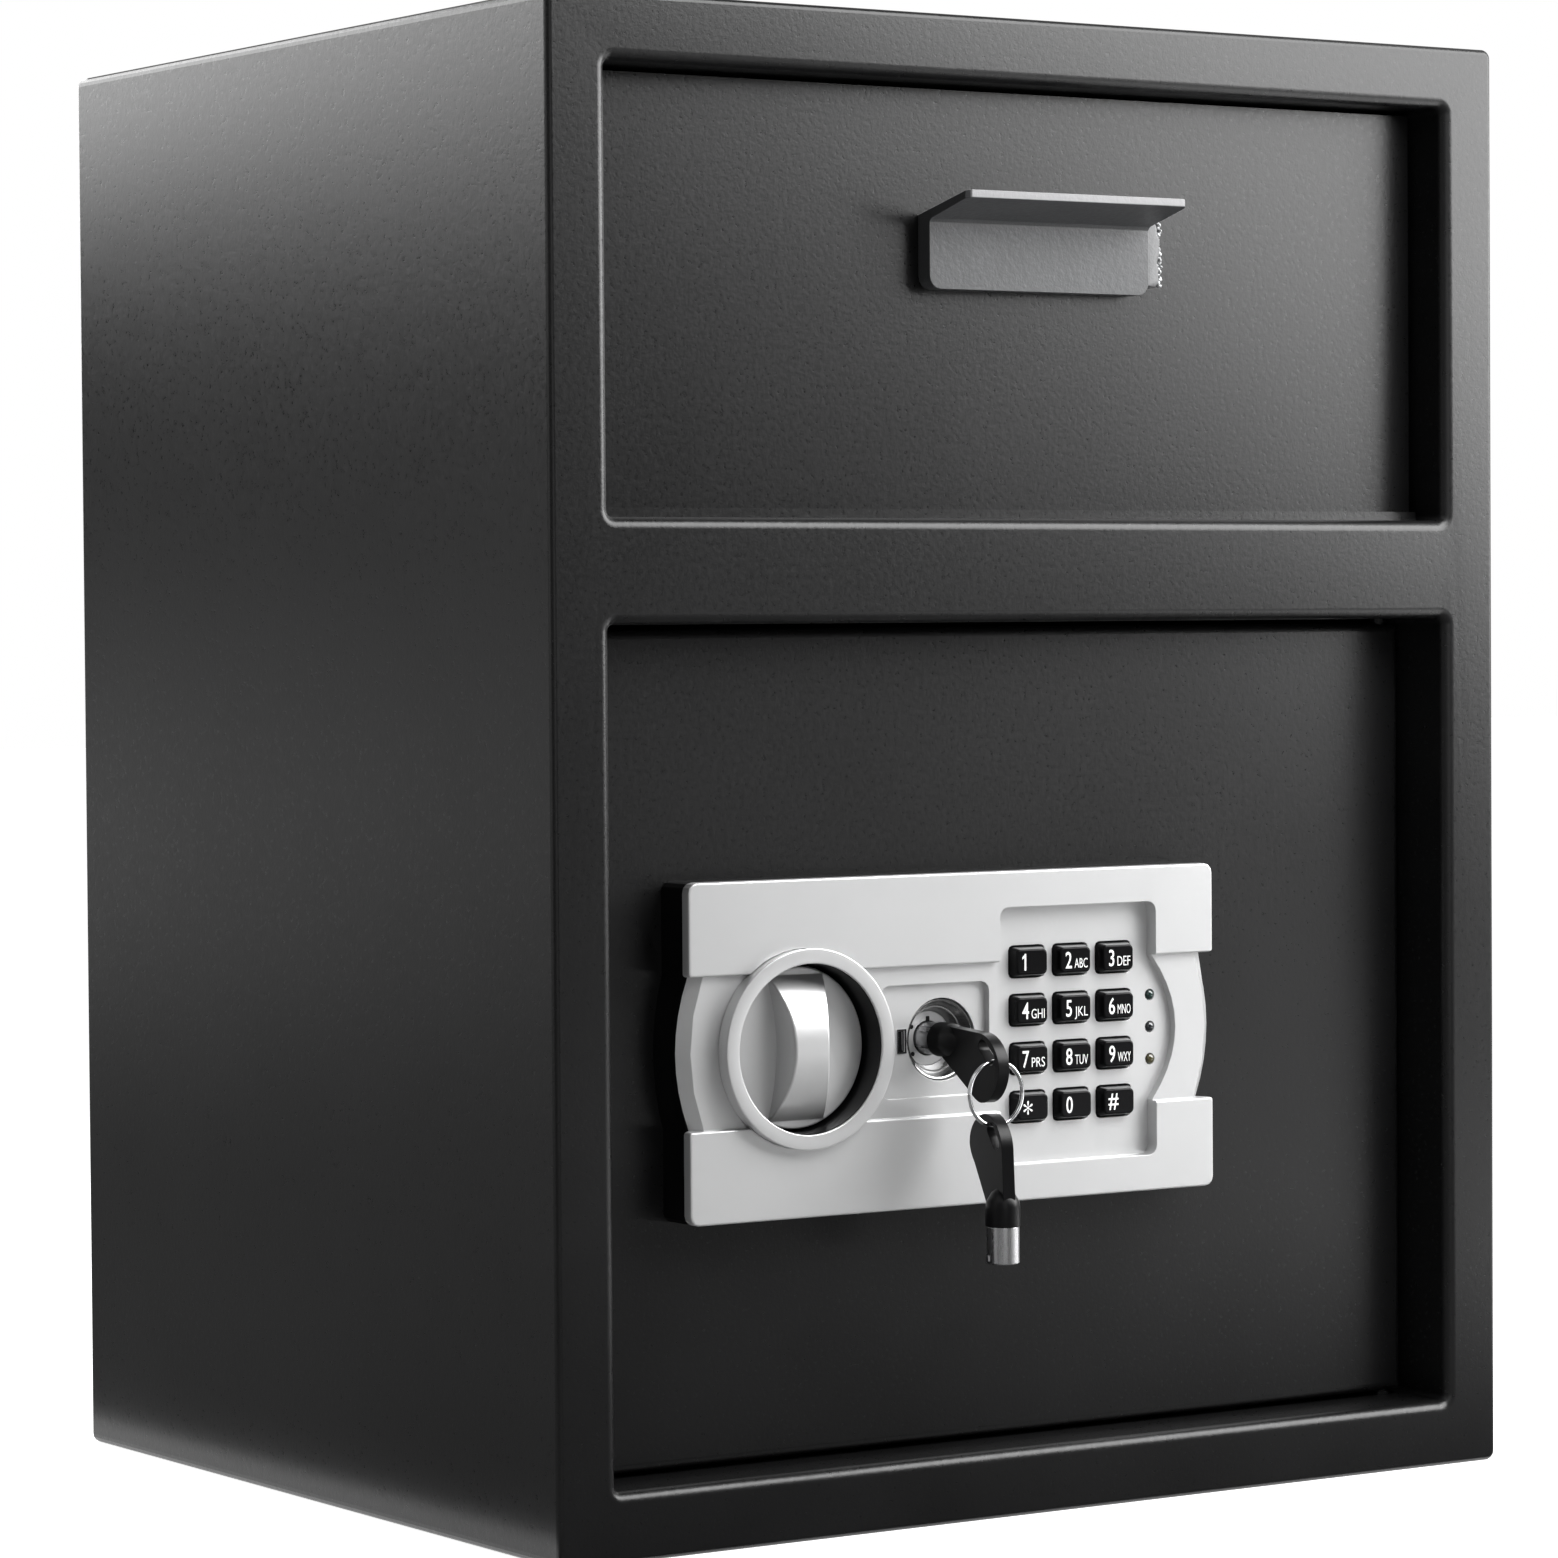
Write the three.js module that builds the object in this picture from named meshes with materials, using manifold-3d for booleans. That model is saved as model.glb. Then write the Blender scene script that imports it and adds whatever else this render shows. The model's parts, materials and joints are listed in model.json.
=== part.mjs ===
// A front-loading deposit safe: a sheet steel box with a tilting hopper above
// and a hinged door below that carries an electronic lock.
// Millimetres. X runs to the right, Y to the back and Z up. The origin is the
// centre of the base, so the front plane is at Y = -DEPTH / 2.

import * as THREE from 'three';
import { mergeVertices } from 'three/addons/utils/BufferGeometryUtils.js';
import Module from 'manifold-3d';

const wasm = await Module();
wasm.setup();

// Driving sizes of the body
const WIDTH = 350;
const DEPTH = 300;
const HEIGHT = 450;
const SHELL_SHEET = 2.5;
const FRAME_SHEET = 2;
const BACK_SHEET = 2.5;
const SHELL_CORNER = 3;
const FRONT_ROUND = 1.8;
const BACK_ROUND = 1.2;
const SIDE_BORDER = 20;
const TOP_BORDER = 19.5;
const SILL_BORDER = 20.5;
const CROSSBAR = 31;
const DOOR_OPENING_HEIGHT = 249;
const OPENING_CORNER = 2;
const LIP_ROUND = 2;
const ANCHOR_HOLE = 12;
const ANCHOR_FROM_SIDE = 70;
const ANCHOR_FROM_BACK = 90;
const MAT_THICKNESS = 2;
const SILL_STRIP = 2;
const SHELF_REACH = 38;
const SHELF_FLANGE = 9;

// Driving sizes of the hopper
const HOPPER_RECESS = 16;
const HOPPER_SHEET = 2;
const HOPPER_GAP = 1.3;
const HOPPER_SILL_GAP = 2.6;
const HOPPER_PIN = 5;
const HOPPER_PIN_SET_BACK = 6;
const HOPPER_PIN_ABOVE_FOOT = 7;
const HOPPER_JAMB_SPARE = 8;
const TRAY_SHEET = 1.5;
const TRAY_START_ABOVE_PIN = 11;
const TRAY_REACH = 66;
const TRAY_SLOPE = 30;
const CHEEK_BELOW_TOP = 19.1;
const CHEEK_INSET = 1;
const HANDLE_WIDTH = 82;
const HANDLE_OFF_CENTRE = 4.5;
const HANDLE_LEG = 6;
const HANDLE_LEG_HEIGHT = 21;
const HANDLE_FLANGE = 2.3;
const HANDLE_FLANGE_REACH = 20;
const HANDLE_FLANGE_RISE = 5;
const HANDLE_BELOW_TOP = 61.4;
const HANDLE_CORNER = 4;
const WELD_LUMP = 2.4;
const WELD_WIDTH = 5.2;

// Driving sizes of the door
const DOOR_RECESS = 21;
const DOOR_PLATE = 6;
const DOOR_GAP = 1.4;
const DOOR_PIN = 3.6;
const DOOR_PIN_SET_BACK = 3;
const DOOR_PIN_FROM_EDGE = 6.4;
const DOOR_PIN_GRIP = 10;
const DOOR_JAMB_SPARE = 1;

// Driving sizes of the electronic lock's front
const LOCK_LEFT_MARGIN = 29;
const LOCK_ABOVE_SILL = 74;
const LOCK_WIDTH = 192;
const LOCK_HEIGHT = 100;
const LOCK_PROUD = 15;
const LOCK_CORNER = 3;
const FASCIA_EDGE = 3.5;
const BAND_HEIGHT = 45;
const BAND_DROP = 2.2;
const BAND_BULGE = 3.2;
const BASE_WALL = 2.5;
const FASCIA_FLOOR = 1.5;
const KNOB_FROM_LEFT = 40.5;
const KNOB_DIAMETER = 48.4;
const KNOB_THICKNESS = 3;
const KNOB_SINK = 5.7;
const GRIP_HEIGHT = 9.8;
const GRIP_FOOT = 19.6;
const GRIP_TOP = 12.2;
const GRIP_LENGTH = 43;
const GRIP_CHAMFER = 1.8;
const GRIP_END = 0.4;
const BEZEL_BORE = 50;
const BEZEL_FACE = 56.6;
const BEZEL_FOOT = 58.8;
const BEZEL_PROUD = 3.3;
const BEZEL_SLEEVE = 1.5;
const SPINDLE = 10;
const KEYPAD_FROM_RIGHT = 51.5;
const KEYPAD_WIDTH = 58.8;
const KEYPAD_HEIGHT = 78;
const KEYPAD_DEPTH = 4.7;
const KEYPAD_CORNER = 3;
const KEYPAD_BULGE = 9;
const KEY_PITCH_X = 16.3;
const KEY_PITCH_Z = 14.7;
const KEY_WIDTH = 13;
const KEY_HEIGHT = 9.4;
const KEY_PROUD = 3.1;
const KEY_TAPER = 0.8;
const KEY_TRAVEL = 1.5;
const KEY_FLANGE = 0.7;
const LENS_DIAMETER = 3;
const LENS_PROUD = 0.8;
const LENS_FROM_KEYPAD = 30.4;
const LENS_PITCH = 9.9;
const CYLINDER_FROM_LEFT = 92;
const CYLINDER_COLLAR = 24.4;
const CYLINDER_BARREL = 19;
const CYLINDER_FACE = 18;
const CYLINDER_SINK = 6.9;
const CYLINDER_PANEL_DROP = 2;
const CYLINDER_PANEL_HEIGHT = 34;
const CYLINDER_PANEL_RIGHT = 16.4;
const NOTCH_WIDTH = 2.2;
const NOTCH_HEIGHT = 6.2;
const NOTCH_FROM_CYLINDER = 14.5;

// Driving sizes of the keys
const KEY_TUBE = 9.8;
const KEY_TUBE_BORE = 6.8;
const KEY_TUBE_LENGTH = 11;
const KEY_STEM = 6.6;
const KEY_INSERTED = 4.5;
const KEY_BOW_THICKNESS = 4;
const KEY_BOW_LENGTH = 32.8;
const KEY_BOW_BULGE = 17.4;
const KEY_BOW_WAIST = 14.8;
const KEY_BOW_SHOULDER = 9.3;
const KEY_NECK = 10.4;
const KEY_NECK_LENGTH = 7.5;
const KEY_SLOT = 4;
const SPARE_KEY_TURN = 8;
const RING_DIAMETER = 20.4;
const RING_WIRE = 1.3;

// Driving sizes of the mechanism behind the door
const BOLT = 16;
const BOLT_LENGTH = 42;
const BOLT_PITCH = 90;
const BOLT_BEHIND_JAMB = 1.2;
const BOLT_TIP_INSET = 3;
const GUIDE_INSET = 10;
const GUIDE_SHEET = 3;
const GUIDE_FOOT = 14;
const GUIDE_MARGIN = 14;
const CARRIAGE_SHEET = 3;
const CAM_THROW = 17;
const CAM_TURN = 60;
const CAM_THICKNESS = 4;
const CAM_PIN = 6;
const CAM_BEHIND_DOOR = 9;
const WEB_BEHIND_CAM = 2;
const WEB_BELOW_SPINDLE = 12;
const WEB_ABOVE_CAM_PIN = 7;
const WEB_PAST_PLUNGER = 5;
const CARRIAGE_MARGIN = 3;
const BOLT_NOSE = 2;
const GUIDE_BEHIND_BOLT = 4;
const PLUNGER_FROM_KNOB = 22;
const SOLENOID_ABOVE_WEB = 3;
const BUTTON_FROM_LEFT = 60;
const BUTTON_ABOVE_FOOT = 16;
const PLUNGER = 6;
const PLUNGER_TRAVEL = 6;
const SOLENOID_WIDTH = 22;
const SOLENOID_HEIGHT = 28;
const COVER_SHEET = 1.5;
const COVER_DEPTH = 40;
const COVER_LEFT_INSET = 17;
const COVER_RIGHT_REACH = 6;
const COVER_HEIGHT = 140;
const BATTERY_WIDTH = 26.5;
const BATTERY_DEPTH = 17.5;
const BATTERY_HEIGHT = 48.5;
const BATTERY_WALL = 2;
const LID_SHEET = 2;
const BUTTON = 8;
const BUTTON_PROUD = 3;
const BUTTON_TRAVEL = 2;
const CHUTE_SHEET = 1.5;
const CHUTE_THROAT = 30;
const CHUTE_FALL = 45;
const CHUTE_BACK_HEIGHT = 330;
const TEETH = 12;

// Clearances
const FIT = 0.3;
const RUNNING_FIT = 0.5;
const HOLE_OVERCUT = 1;

// Places worked out from the sizes
const FRONT = -DEPTH / 2;
const BACK = DEPTH / 2;
const SHELL_FRONT = FRONT + FRAME_SHEET;
const SHELL_BACK = BACK - BACK_SHEET;
const INNER_X = WIDTH / 2 - SHELL_SHEET;
const BODY_OUTLINE = { x0: -WIDTH / 2, x1: WIDTH / 2, z0: 0, z1: HEIGHT };

const DOOR_OPENING = {
  x0: -WIDTH / 2 + SIDE_BORDER,
  x1: WIDTH / 2 - SIDE_BORDER,
  z0: SILL_BORDER,
  z1: SILL_BORDER + DOOR_OPENING_HEIGHT,
};
const HOPPER_OPENING = {
  x0: DOOR_OPENING.x0,
  x1: DOOR_OPENING.x1,
  z0: DOOR_OPENING.z1 + CROSSBAR,
  z1: HEIGHT - TOP_BORDER,
};

const DOOR_FACE = FRONT + DOOR_RECESS;
const DOOR_BACK = DOOR_FACE + DOOR_PLATE;
const DOOR_JAMB_END = DOOR_BACK + DOOR_JAMB_SPARE;
const DOOR_EDGES = inset(DOOR_OPENING, DOOR_GAP);
const DOOR_PIN_X = DOOR_EDGES.x1 - DOOR_PIN_FROM_EDGE;
const DOOR_PIN_Y = DOOR_FACE + DOOR_PIN_SET_BACK;

const HOPPER_FACE = FRONT + HOPPER_RECESS;
const HOPPER_BACK = HOPPER_FACE + HOPPER_SHEET;
const HOPPER_JAMB_END = HOPPER_BACK + HOPPER_JAMB_SPARE;
const HOPPER_EDGES = {
  x0: HOPPER_OPENING.x0 + HOPPER_GAP,
  x1: HOPPER_OPENING.x1 - HOPPER_GAP,
  z0: HOPPER_OPENING.z0 + HOPPER_SILL_GAP,
  z1: HOPPER_OPENING.z1 - HOPPER_GAP,
};
const HOPPER_PIN_Y = HOPPER_FACE + HOPPER_PIN_SET_BACK;
const HOPPER_PIN_Z = HOPPER_EDGES.z0 + HOPPER_PIN_ABOVE_FOOT;
const CHEEK_OUTER_X = HOPPER_EDGES.x1 - CHEEK_INSET;
const TRAY_DROP = TRAY_REACH * Math.tan(THREE.MathUtils.degToRad(TRAY_SLOPE));
const TRAY_END = {
  y: HOPPER_BACK + TRAY_REACH,
  z: HOPPER_PIN_Z + TRAY_START_ABOVE_PIN - TRAY_DROP,
};
const HOPPER_SWEEP = Math.hypot(TRAY_END.y - HOPPER_PIN_Y, TRAY_END.z - HOPPER_PIN_Z) + 2 * TRAY_SHEET;

const LOCK = {
  x0: DOOR_OPENING.x0 + LOCK_LEFT_MARGIN,
  x1: DOOR_OPENING.x0 + LOCK_LEFT_MARGIN + LOCK_WIDTH,
  z0: DOOR_OPENING.z0 + LOCK_ABOVE_SILL,
  z1: DOOR_OPENING.z0 + LOCK_ABOVE_SILL + LOCK_HEIGHT,
};
const LOCK_X = (LOCK.x0 + LOCK.x1) / 2;
const LOCK_Z = (LOCK.z0 + LOCK.z1) / 2;
const FASCIA_FACE = DOOR_FACE - LOCK_PROUD;
const FASCIA_BACK = FASCIA_FACE + FASCIA_EDGE;
const BAND_FACE = FASCIA_FACE + BAND_DROP;
const BAND_Z0 = LOCK_Z - BAND_HEIGHT / 2;
const BAND_Z1 = LOCK_Z + BAND_HEIGHT / 2;
const KEYPAD_FLOOR = FASCIA_FACE + KEYPAD_DEPTH;
const FASCIA_REAR = KEYPAD_FLOOR + FASCIA_FLOOR;
const BASE_INNER = FASCIA_BACK + BASE_WALL;
const KNOB_X = LOCK.x0 + KNOB_FROM_LEFT;
const KNOB_FACE = FASCIA_FACE + KNOB_SINK;
const KEYPAD_X = LOCK.x1 - KEYPAD_FROM_RIGHT;
const CYLINDER_X = LOCK.x0 + CYLINDER_FROM_LEFT;
const CYLINDER_PANEL_FACE = BAND_FACE + CYLINDER_PANEL_DROP;
const CYLINDER_FACE_Y = CYLINDER_PANEL_FACE + CYLINDER_SINK;
const LENS_X = KEYPAD_X + LENS_FROM_KEYPAD;
const KEY_FLANGE_FRONT = FASCIA_REAR + FIT;
const KEY_REAR = KEY_FLANGE_FRONT + KEY_FLANGE;
const MAT_FRONT = KEY_REAR + KEY_TRAVEL + FIT;
const MAT_SHEET = 1.2;
const BOARD_FRONT = MAT_FRONT + MAT_SHEET;
const BOARD_SHEET = 1.6;

const BOLT_Y = DOOR_JAMB_END + BOLT_BEHIND_JAMB + BOLT / 2;
const BOLT_TIP_X = DOOR_EDGES.x0 + BOLT_TIP_INSET;
const BOLT_END_X = BOLT_TIP_X + BOLT_LENGTH;
const GUIDE_X = DOOR_EDGES.x0 + GUIDE_INSET;
const COVER_X0 = DOOR_EDGES.x0 + COVER_LEFT_INSET;
const COVER_X1 = LOCK.x1 + COVER_RIGHT_REACH;
const COVER_BACK = DOOR_BACK + COVER_DEPTH;
const CAM_FRONT = DOOR_BACK + CAM_BEHIND_DOOR;
const CAM_BACK = CAM_FRONT + CAM_THICKNESS;
const WEB_FRONT = CAM_BACK + WEB_BEHIND_CAM;
const WEB_BACK = WEB_FRONT + CARRIAGE_SHEET;
const WEB_Z0 = LOCK_Z - WEB_BELOW_SPINDLE;
const WEB_Z1 = LOCK_Z + CAM_THROW + CAM_PIN / 2 + WEB_ABOVE_CAM_PIN;
const PLUNGER_X = KNOB_X + PLUNGER_FROM_KNOB;
const WEB_X1 = PLUNGER_X + CAM_THROW + PLUNGER / 2 + WEB_PAST_PLUNGER;
const PLUNGER_Y = (WEB_FRONT + WEB_BACK) / 2;
const SOLENOID_Z0 = WEB_Z1 + SOLENOID_ABOVE_WEB;

function inset(box, by) {
  return { x0: box.x0 + by, x1: box.x1 - by, z0: box.z0 + by, z1: box.z1 - by };
}

// Finishes

function finish(colour, roughness, metalness) {
  return new THREE.MeshStandardMaterial({ color: colour, roughness, metalness });
}

const BLACK_POWDER = finish(0x26272a, 0.55, 0.1);
const DOOR_POWDER = finish(0x232426, 0.55, 0.1);
const HANDLE_POWDER = finish(0x55575a, 0.5, 0.15);
const WELD_PAINT = finish(0x9a9c9e, 0.4, 0.4);
const SILVER_PLASTIC = finish(0xd9dadb, 0.4, 0.3);
const BLACK_PLASTIC = finish(0x141416, 0.45, 0);
const KEY_PLASTIC = finish(0x1b1b1d, 0.3, 0);
const CHROME = finish(0xd8dadc, 0.12, 1);
const ZINC = finish(0xb4b6b4, 0.35, 0.9);
const STEEL = finish(0x9fa1a3, 0.3, 0.9);
const RUBBER = finish(0x2b2b2c, 0.85, 0);
const FELT = finish(0x3a3b40, 0.95, 0);
const BOARD_GREEN = finish(0x1f5a34, 0.5, 0);
const CELL_JACKET = finish(0xb8862c, 0.4, 0.2);
const LENS_GREEN = finish(0x1d4038, 0.15, 0);
const BUTTON_RED = finish(0x9b1f1a, 0.4, 0);

// Solids. Each one is closed, and its faces point out.

function toSolid(geometry) {
  const bare = geometry.clone();
  bare.deleteAttribute('normal');
  bare.deleteAttribute('uv');
  const merged = mergeVertices(bare, 1e-4);
  const points = merged.attributes.position;
  const faces = merged.index.array;
  const a = new THREE.Vector3();
  const b = new THREE.Vector3();
  const c = new THREE.Vector3();
  let volume = 0;
  for (let i = 0; i < faces.length; i += 3) {
    a.fromBufferAttribute(points, faces[i]);
    b.fromBufferAttribute(points, faces[i + 1]);
    c.fromBufferAttribute(points, faces[i + 2]);
    volume += a.dot(b.cross(c));
  }
  const triVerts = new Uint32Array(faces);
  if (volume < 0) {
    for (let i = 0; i < triVerts.length; i += 3) {
      [triVerts[i], triVerts[i + 1]] = [triVerts[i + 1], triVerts[i]];
    }
  }
  const vertProperties = new Float32Array(points.array);
  return new wasm.Manifold(new wasm.Mesh({ numProp: 3, vertProperties, triVerts }));
}

function toGeometry(body) {
  const mesh = body.getMesh();
  const geometry = new THREE.BufferGeometry();
  geometry.setAttribute('position', new THREE.BufferAttribute(mesh.vertProperties, 3));
  geometry.setIndex(new THREE.BufferAttribute(mesh.triVerts, 1));
  geometry.computeVertexNormals();
  return geometry;
}

function join(...bodies) {
  return bodies.reduce((sum, body) => sum.add(body));
}

function cut(body, ...tools) {
  return tools.reduce((rest, tool) => rest.subtract(tool), body);
}

function block(x0, x1, y0, y1, z0, z1) {
  const geometry = new THREE.BoxGeometry(x1 - x0, y1 - y0, z1 - z0);
  geometry.translate((x0 + x1) / 2, (y0 + y1) / 2, (z0 + z1) / 2);
  return toSolid(geometry);
}

// Extrudes an outline drawn in X and Z along Y.
function alongY(outline, y0, y1) {
  const shape = outline instanceof THREE.Shape ? outline : new THREE.Shape(outline);
  const geometry = new THREE.ExtrudeGeometry(shape, { depth: y1 - y0, bevelEnabled: false });
  geometry.rotateX(Math.PI / 2);
  geometry.translate(0, y1, 0);
  return toSolid(geometry);
}

// Extrudes an outline drawn in Y and Z along X.
function alongX(outline, x0, x1) {
  const shape = outline instanceof THREE.Shape ? outline : new THREE.Shape(outline);
  const geometry = new THREE.ExtrudeGeometry(shape, { depth: x1 - x0, bevelEnabled: false });
  const turn = new THREE.Matrix4().makeBasis(
    new THREE.Vector3(0, 1, 0),
    new THREE.Vector3(0, 0, 1),
    new THREE.Vector3(1, 0, 0),
  );
  geometry.applyMatrix4(turn);
  geometry.translate(x0, 0, 0);
  return toSolid(geometry);
}

// Extrudes an outline drawn in X and Y along Z.
function alongZ(outline, z0, z1) {
  const geometry = new THREE.ExtrudeGeometry(new THREE.Shape(outline), {
    depth: z1 - z0,
    bevelEnabled: false,
  });
  geometry.translate(0, 0, z0);
  return toSolid(geometry);
}

function rodX(y, z, radius, x0, x1, sides = 20) {
  const geometry = new THREE.CylinderGeometry(radius, radius, x1 - x0, sides);
  geometry.rotateZ(Math.PI / 2);
  geometry.translate((x0 + x1) / 2, y, z);
  return toSolid(geometry);
}

function rodY(x, z, radius, y0, y1, sides = 20) {
  const geometry = new THREE.CylinderGeometry(radius, radius, y1 - y0, sides);
  geometry.translate(x, (y0 + y1) / 2, z);
  return toSolid(geometry);
}

function rodZ(x, y, radius, z0, z1, sides = 20) {
  const geometry = new THREE.CylinderGeometry(radius, radius, z1 - z0, sides);
  geometry.rotateX(Math.PI / 2);
  geometry.translate(x, y, (z0 + z1) / 2);
  return toSolid(geometry);
}

// Turns a profile of [radius, y] pairs about an axis along Y.
function turned(profile, x, z, sides = 24) {
  const points = profile.map(([radius, y]) => new THREE.Vector2(radius, y));
  const geometry = new THREE.LatheGeometry(points, sides);
  geometry.translate(x, 0, z);
  return toSolid(geometry);
}

// A rounded rectangle in X and Z as a list of points, corner by corner.
function roundedOutline(box, radius, steps = 4) {
  const points = [];
  const corners = [
    [box.x1 - radius, box.z0 + radius, -Math.PI / 2],
    [box.x1 - radius, box.z1 - radius, 0],
    [box.x0 + radius, box.z1 - radius, Math.PI / 2],
    [box.x0 + radius, box.z0 + radius, Math.PI],
  ];
  for (const [x, z, start] of corners) {
    for (let i = 0; i <= steps; i++) {
      const angle = start + (i / steps) * (Math.PI / 2);
      points.push(new THREE.Vector2(x + radius * Math.cos(angle), z + radius * Math.sin(angle)));
    }
  }
  return points;
}

function roundedBlock(box, radius, y0, y1, steps = 4) {
  return alongY(roundedOutline(box, radius, steps), y0, y1);
}

// Joins outlines of equal point counts, each at its own Y, into one solid.
function lofted(stations) {
  const count = stations[0].outline.length;
  const positions = [];
  const index = [];
  for (const { y, outline } of stations) {
    for (const point of outline) {
      positions.push(point.x, y, point.y);
    }
  }
  for (let s = 0; s < stations.length - 1; s++) {
    for (let i = 0; i < count; i++) {
      const j = (i + 1) % count;
      const a = s * count + i;
      const b = s * count + j;
      index.push(a, b, a + count, b, b + count, a + count);
    }
  }
  const cap = THREE.ShapeUtils.triangulateShape(stations[0].outline, []);
  const last = (stations.length - 1) * count;
  for (const [a, b, c] of cap) {
    index.push(a, c, b);
    index.push(last + a, last + b, last + c);
  }
  const geometry = new THREE.BufferGeometry();
  geometry.setAttribute('position', new THREE.Float32BufferAttribute(positions, 3));
  geometry.setIndex(index);
  return toSolid(geometry);
}

// A rounded block whose front edges are rounded over.
function softBlock(box, corner, round, y0, y1, steps = 4, arcSteps = 3) {
  const stations = [];
  for (let i = 0; i <= arcSteps; i++) {
    const angle = (i / arcSteps) * (Math.PI / 2);
    const by = round * (1 - Math.sin(angle));
    const y = y0 + round * (1 - Math.cos(angle));
    stations.push({ y, outline: roundedOutline(inset(box, by), Math.max(corner - by, 0.3), steps) });
  }
  stations.push({ y: y1, outline: roundedOutline(box, corner, steps) });
  return lofted(stations);
}

// The outline of a bent sheet: a line of points in Y and Z, thickened to its left.
function sheetOutline(line, thickness) {
  const offset = line.map((point, i) => {
    const before = line[Math.max(i - 1, 0)];
    const after = line[Math.min(i + 1, line.length - 1)];
    const into = direction(before, i === 0 ? after : point);
    const out = direction(i === line.length - 1 ? before : point, after);
    const sum = [-(into[1] + out[1]), into[0] + out[0]];
    const scale = (2 * thickness) / (sum[0] ** 2 + sum[1] ** 2);
    return [point[0] + sum[0] * scale, point[1] + sum[1] * scale];
  });
  return [...line, ...offset.reverse()].map(([y, z]) => new THREE.Vector2(y, z));
}

function direction(from, to) {
  const length = Math.hypot(to[0] - from[0], to[1] - from[1]);
  return [(to[0] - from[0]) / length, (to[1] - from[1]) / length];
}

function add(group, name, body, material) {
  const mesh = new THREE.Mesh(toGeometry(body), material);
  mesh.name = name;
  group.add(mesh);
}

// Body

// Where the anchor bolts go through the floor.
function anchorSpots() {
  const x = WIDTH / 2 - ANCHOR_FROM_SIDE;
  const y = BACK - ANCHOR_FROM_BACK;
  return [[-x, y], [x, y]];
}

function bodyShell() {
  const corner = Math.max(SHELL_CORNER - SHELL_SHEET, 0.5);
  const outer = roundedBlock(BODY_OUTLINE, SHELL_CORNER, SHELL_FRONT, SHELL_BACK);
  const hollow = roundedBlock(
    inset(BODY_OUTLINE, SHELL_SHEET), corner, SHELL_FRONT - HOLE_OVERCUT, SHELL_BACK + HOLE_OVERCUT);
  const holes = anchorSpots().map(([x, y]) =>
    rodZ(x, y, ANCHOR_HOLE / 2, -HOLE_OVERCUT, SHELL_SHEET + HOLE_OVERCUT));
  return cut(outer, hollow, ...holes);
}

// The tool that cuts a recess: straight inside, flared at the front by the lip.
function recessTool(opening, end) {
  const stations = [{ y: FRONT - HOLE_OVERCUT, by: -LIP_ROUND }];
  const arcSteps = 4;
  for (let i = 0; i <= arcSteps; i++) {
    const angle = (i / arcSteps) * (Math.PI / 2);
    stations.push({
      y: FRONT + LIP_ROUND * (1 - Math.cos(angle)),
      by: -LIP_ROUND * (1 - Math.sin(angle)),
    });
  }
  stations.push({ y: end + HOLE_OVERCUT, by: 0 });
  return lofted(stations.map(({ y, by }) => (
    { y, outline: roundedOutline(inset(opening, by), OPENING_CORNER - by) })));
}

// Strip on the hopper's sill that covers the gap under its panel.
function sillStrip() {
  const back = HOPPER_FACE - HOPPER_GAP;
  return block(HOPPER_EDGES.x0, HOPPER_EDGES.x1, back - SILL_STRIP, back,
    HOPPER_OPENING.z0 - FRAME_SHEET / 2, HOPPER_EDGES.z0 + FIT);
}

function frontFrame() {
  const plate = softBlock(BODY_OUTLINE, SHELL_CORNER, FRONT_ROUND, FRONT, SHELL_FRONT);
  const jambCorner = OPENING_CORNER + FRAME_SHEET;
  const jamb = (opening, end) => roundedBlock(inset(opening, -FRAME_SHEET), jambCorner, FRONT + LIP_ROUND, end);
  const pinHole = (DOOR_PIN + 2 * FIT) / 2;
  const doorPins = rodZ(DOOR_PIN_X, DOOR_PIN_Y, pinHole,
    DOOR_OPENING.z0 - FRAME_SHEET - HOLE_OVERCUT, DOOR_OPENING.z1 + FRAME_SHEET + HOLE_OVERCUT);
  const hopperPins = rodX(HOPPER_PIN_Y, HOPPER_PIN_Z, (HOPPER_PIN + 2 * FIT) / 2,
    HOPPER_OPENING.x0 - FRAME_SHEET - HOLE_OVERCUT, HOPPER_OPENING.x1 + FRAME_SHEET + HOLE_OVERCUT);
  const sheet = cut(
    join(plate, jamb(DOOR_OPENING, DOOR_JAMB_END), jamb(HOPPER_OPENING, HOPPER_JAMB_END)),
    recessTool(DOOR_OPENING, DOOR_JAMB_END),
    recessTool(HOPPER_OPENING, HOPPER_JAMB_END),
    doorPins,
    hopperPins,
  );
  return join(sheet, sillStrip());
}

function backPanel() {
  const arcSteps = 2;
  const stations = [{ y: SHELL_BACK, by: 0 }];
  for (let i = 0; i <= arcSteps; i++) {
    const angle = (i / arcSteps) * (Math.PI / 2);
    stations.push({
      y: BACK - BACK_ROUND * (1 - Math.sin(angle)),
      by: BACK_ROUND * (1 - Math.cos(angle)),
    });
  }
  return lofted(stations.map(({ y, by }) => (
    { y, outline: roundedOutline(inset(BODY_OUTLINE, by), SHELL_CORNER - by) })));
}

function floorMat() {
  const gap = 1;
  const top = SHELL_SHEET + MAT_THICKNESS;
  const mat = block(-INNER_X + gap, INNER_X - gap, DOOR_JAMB_END + gap, SHELL_BACK - gap, SHELL_SHEET, top);
  const holes = anchorSpots().map(([x, y]) =>
    rodZ(x, y, ANCHOR_HOLE, SHELL_SHEET - HOLE_OVERCUT, top + HOLE_OVERCUT));
  return cut(mat, ...holes);
}

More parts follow.
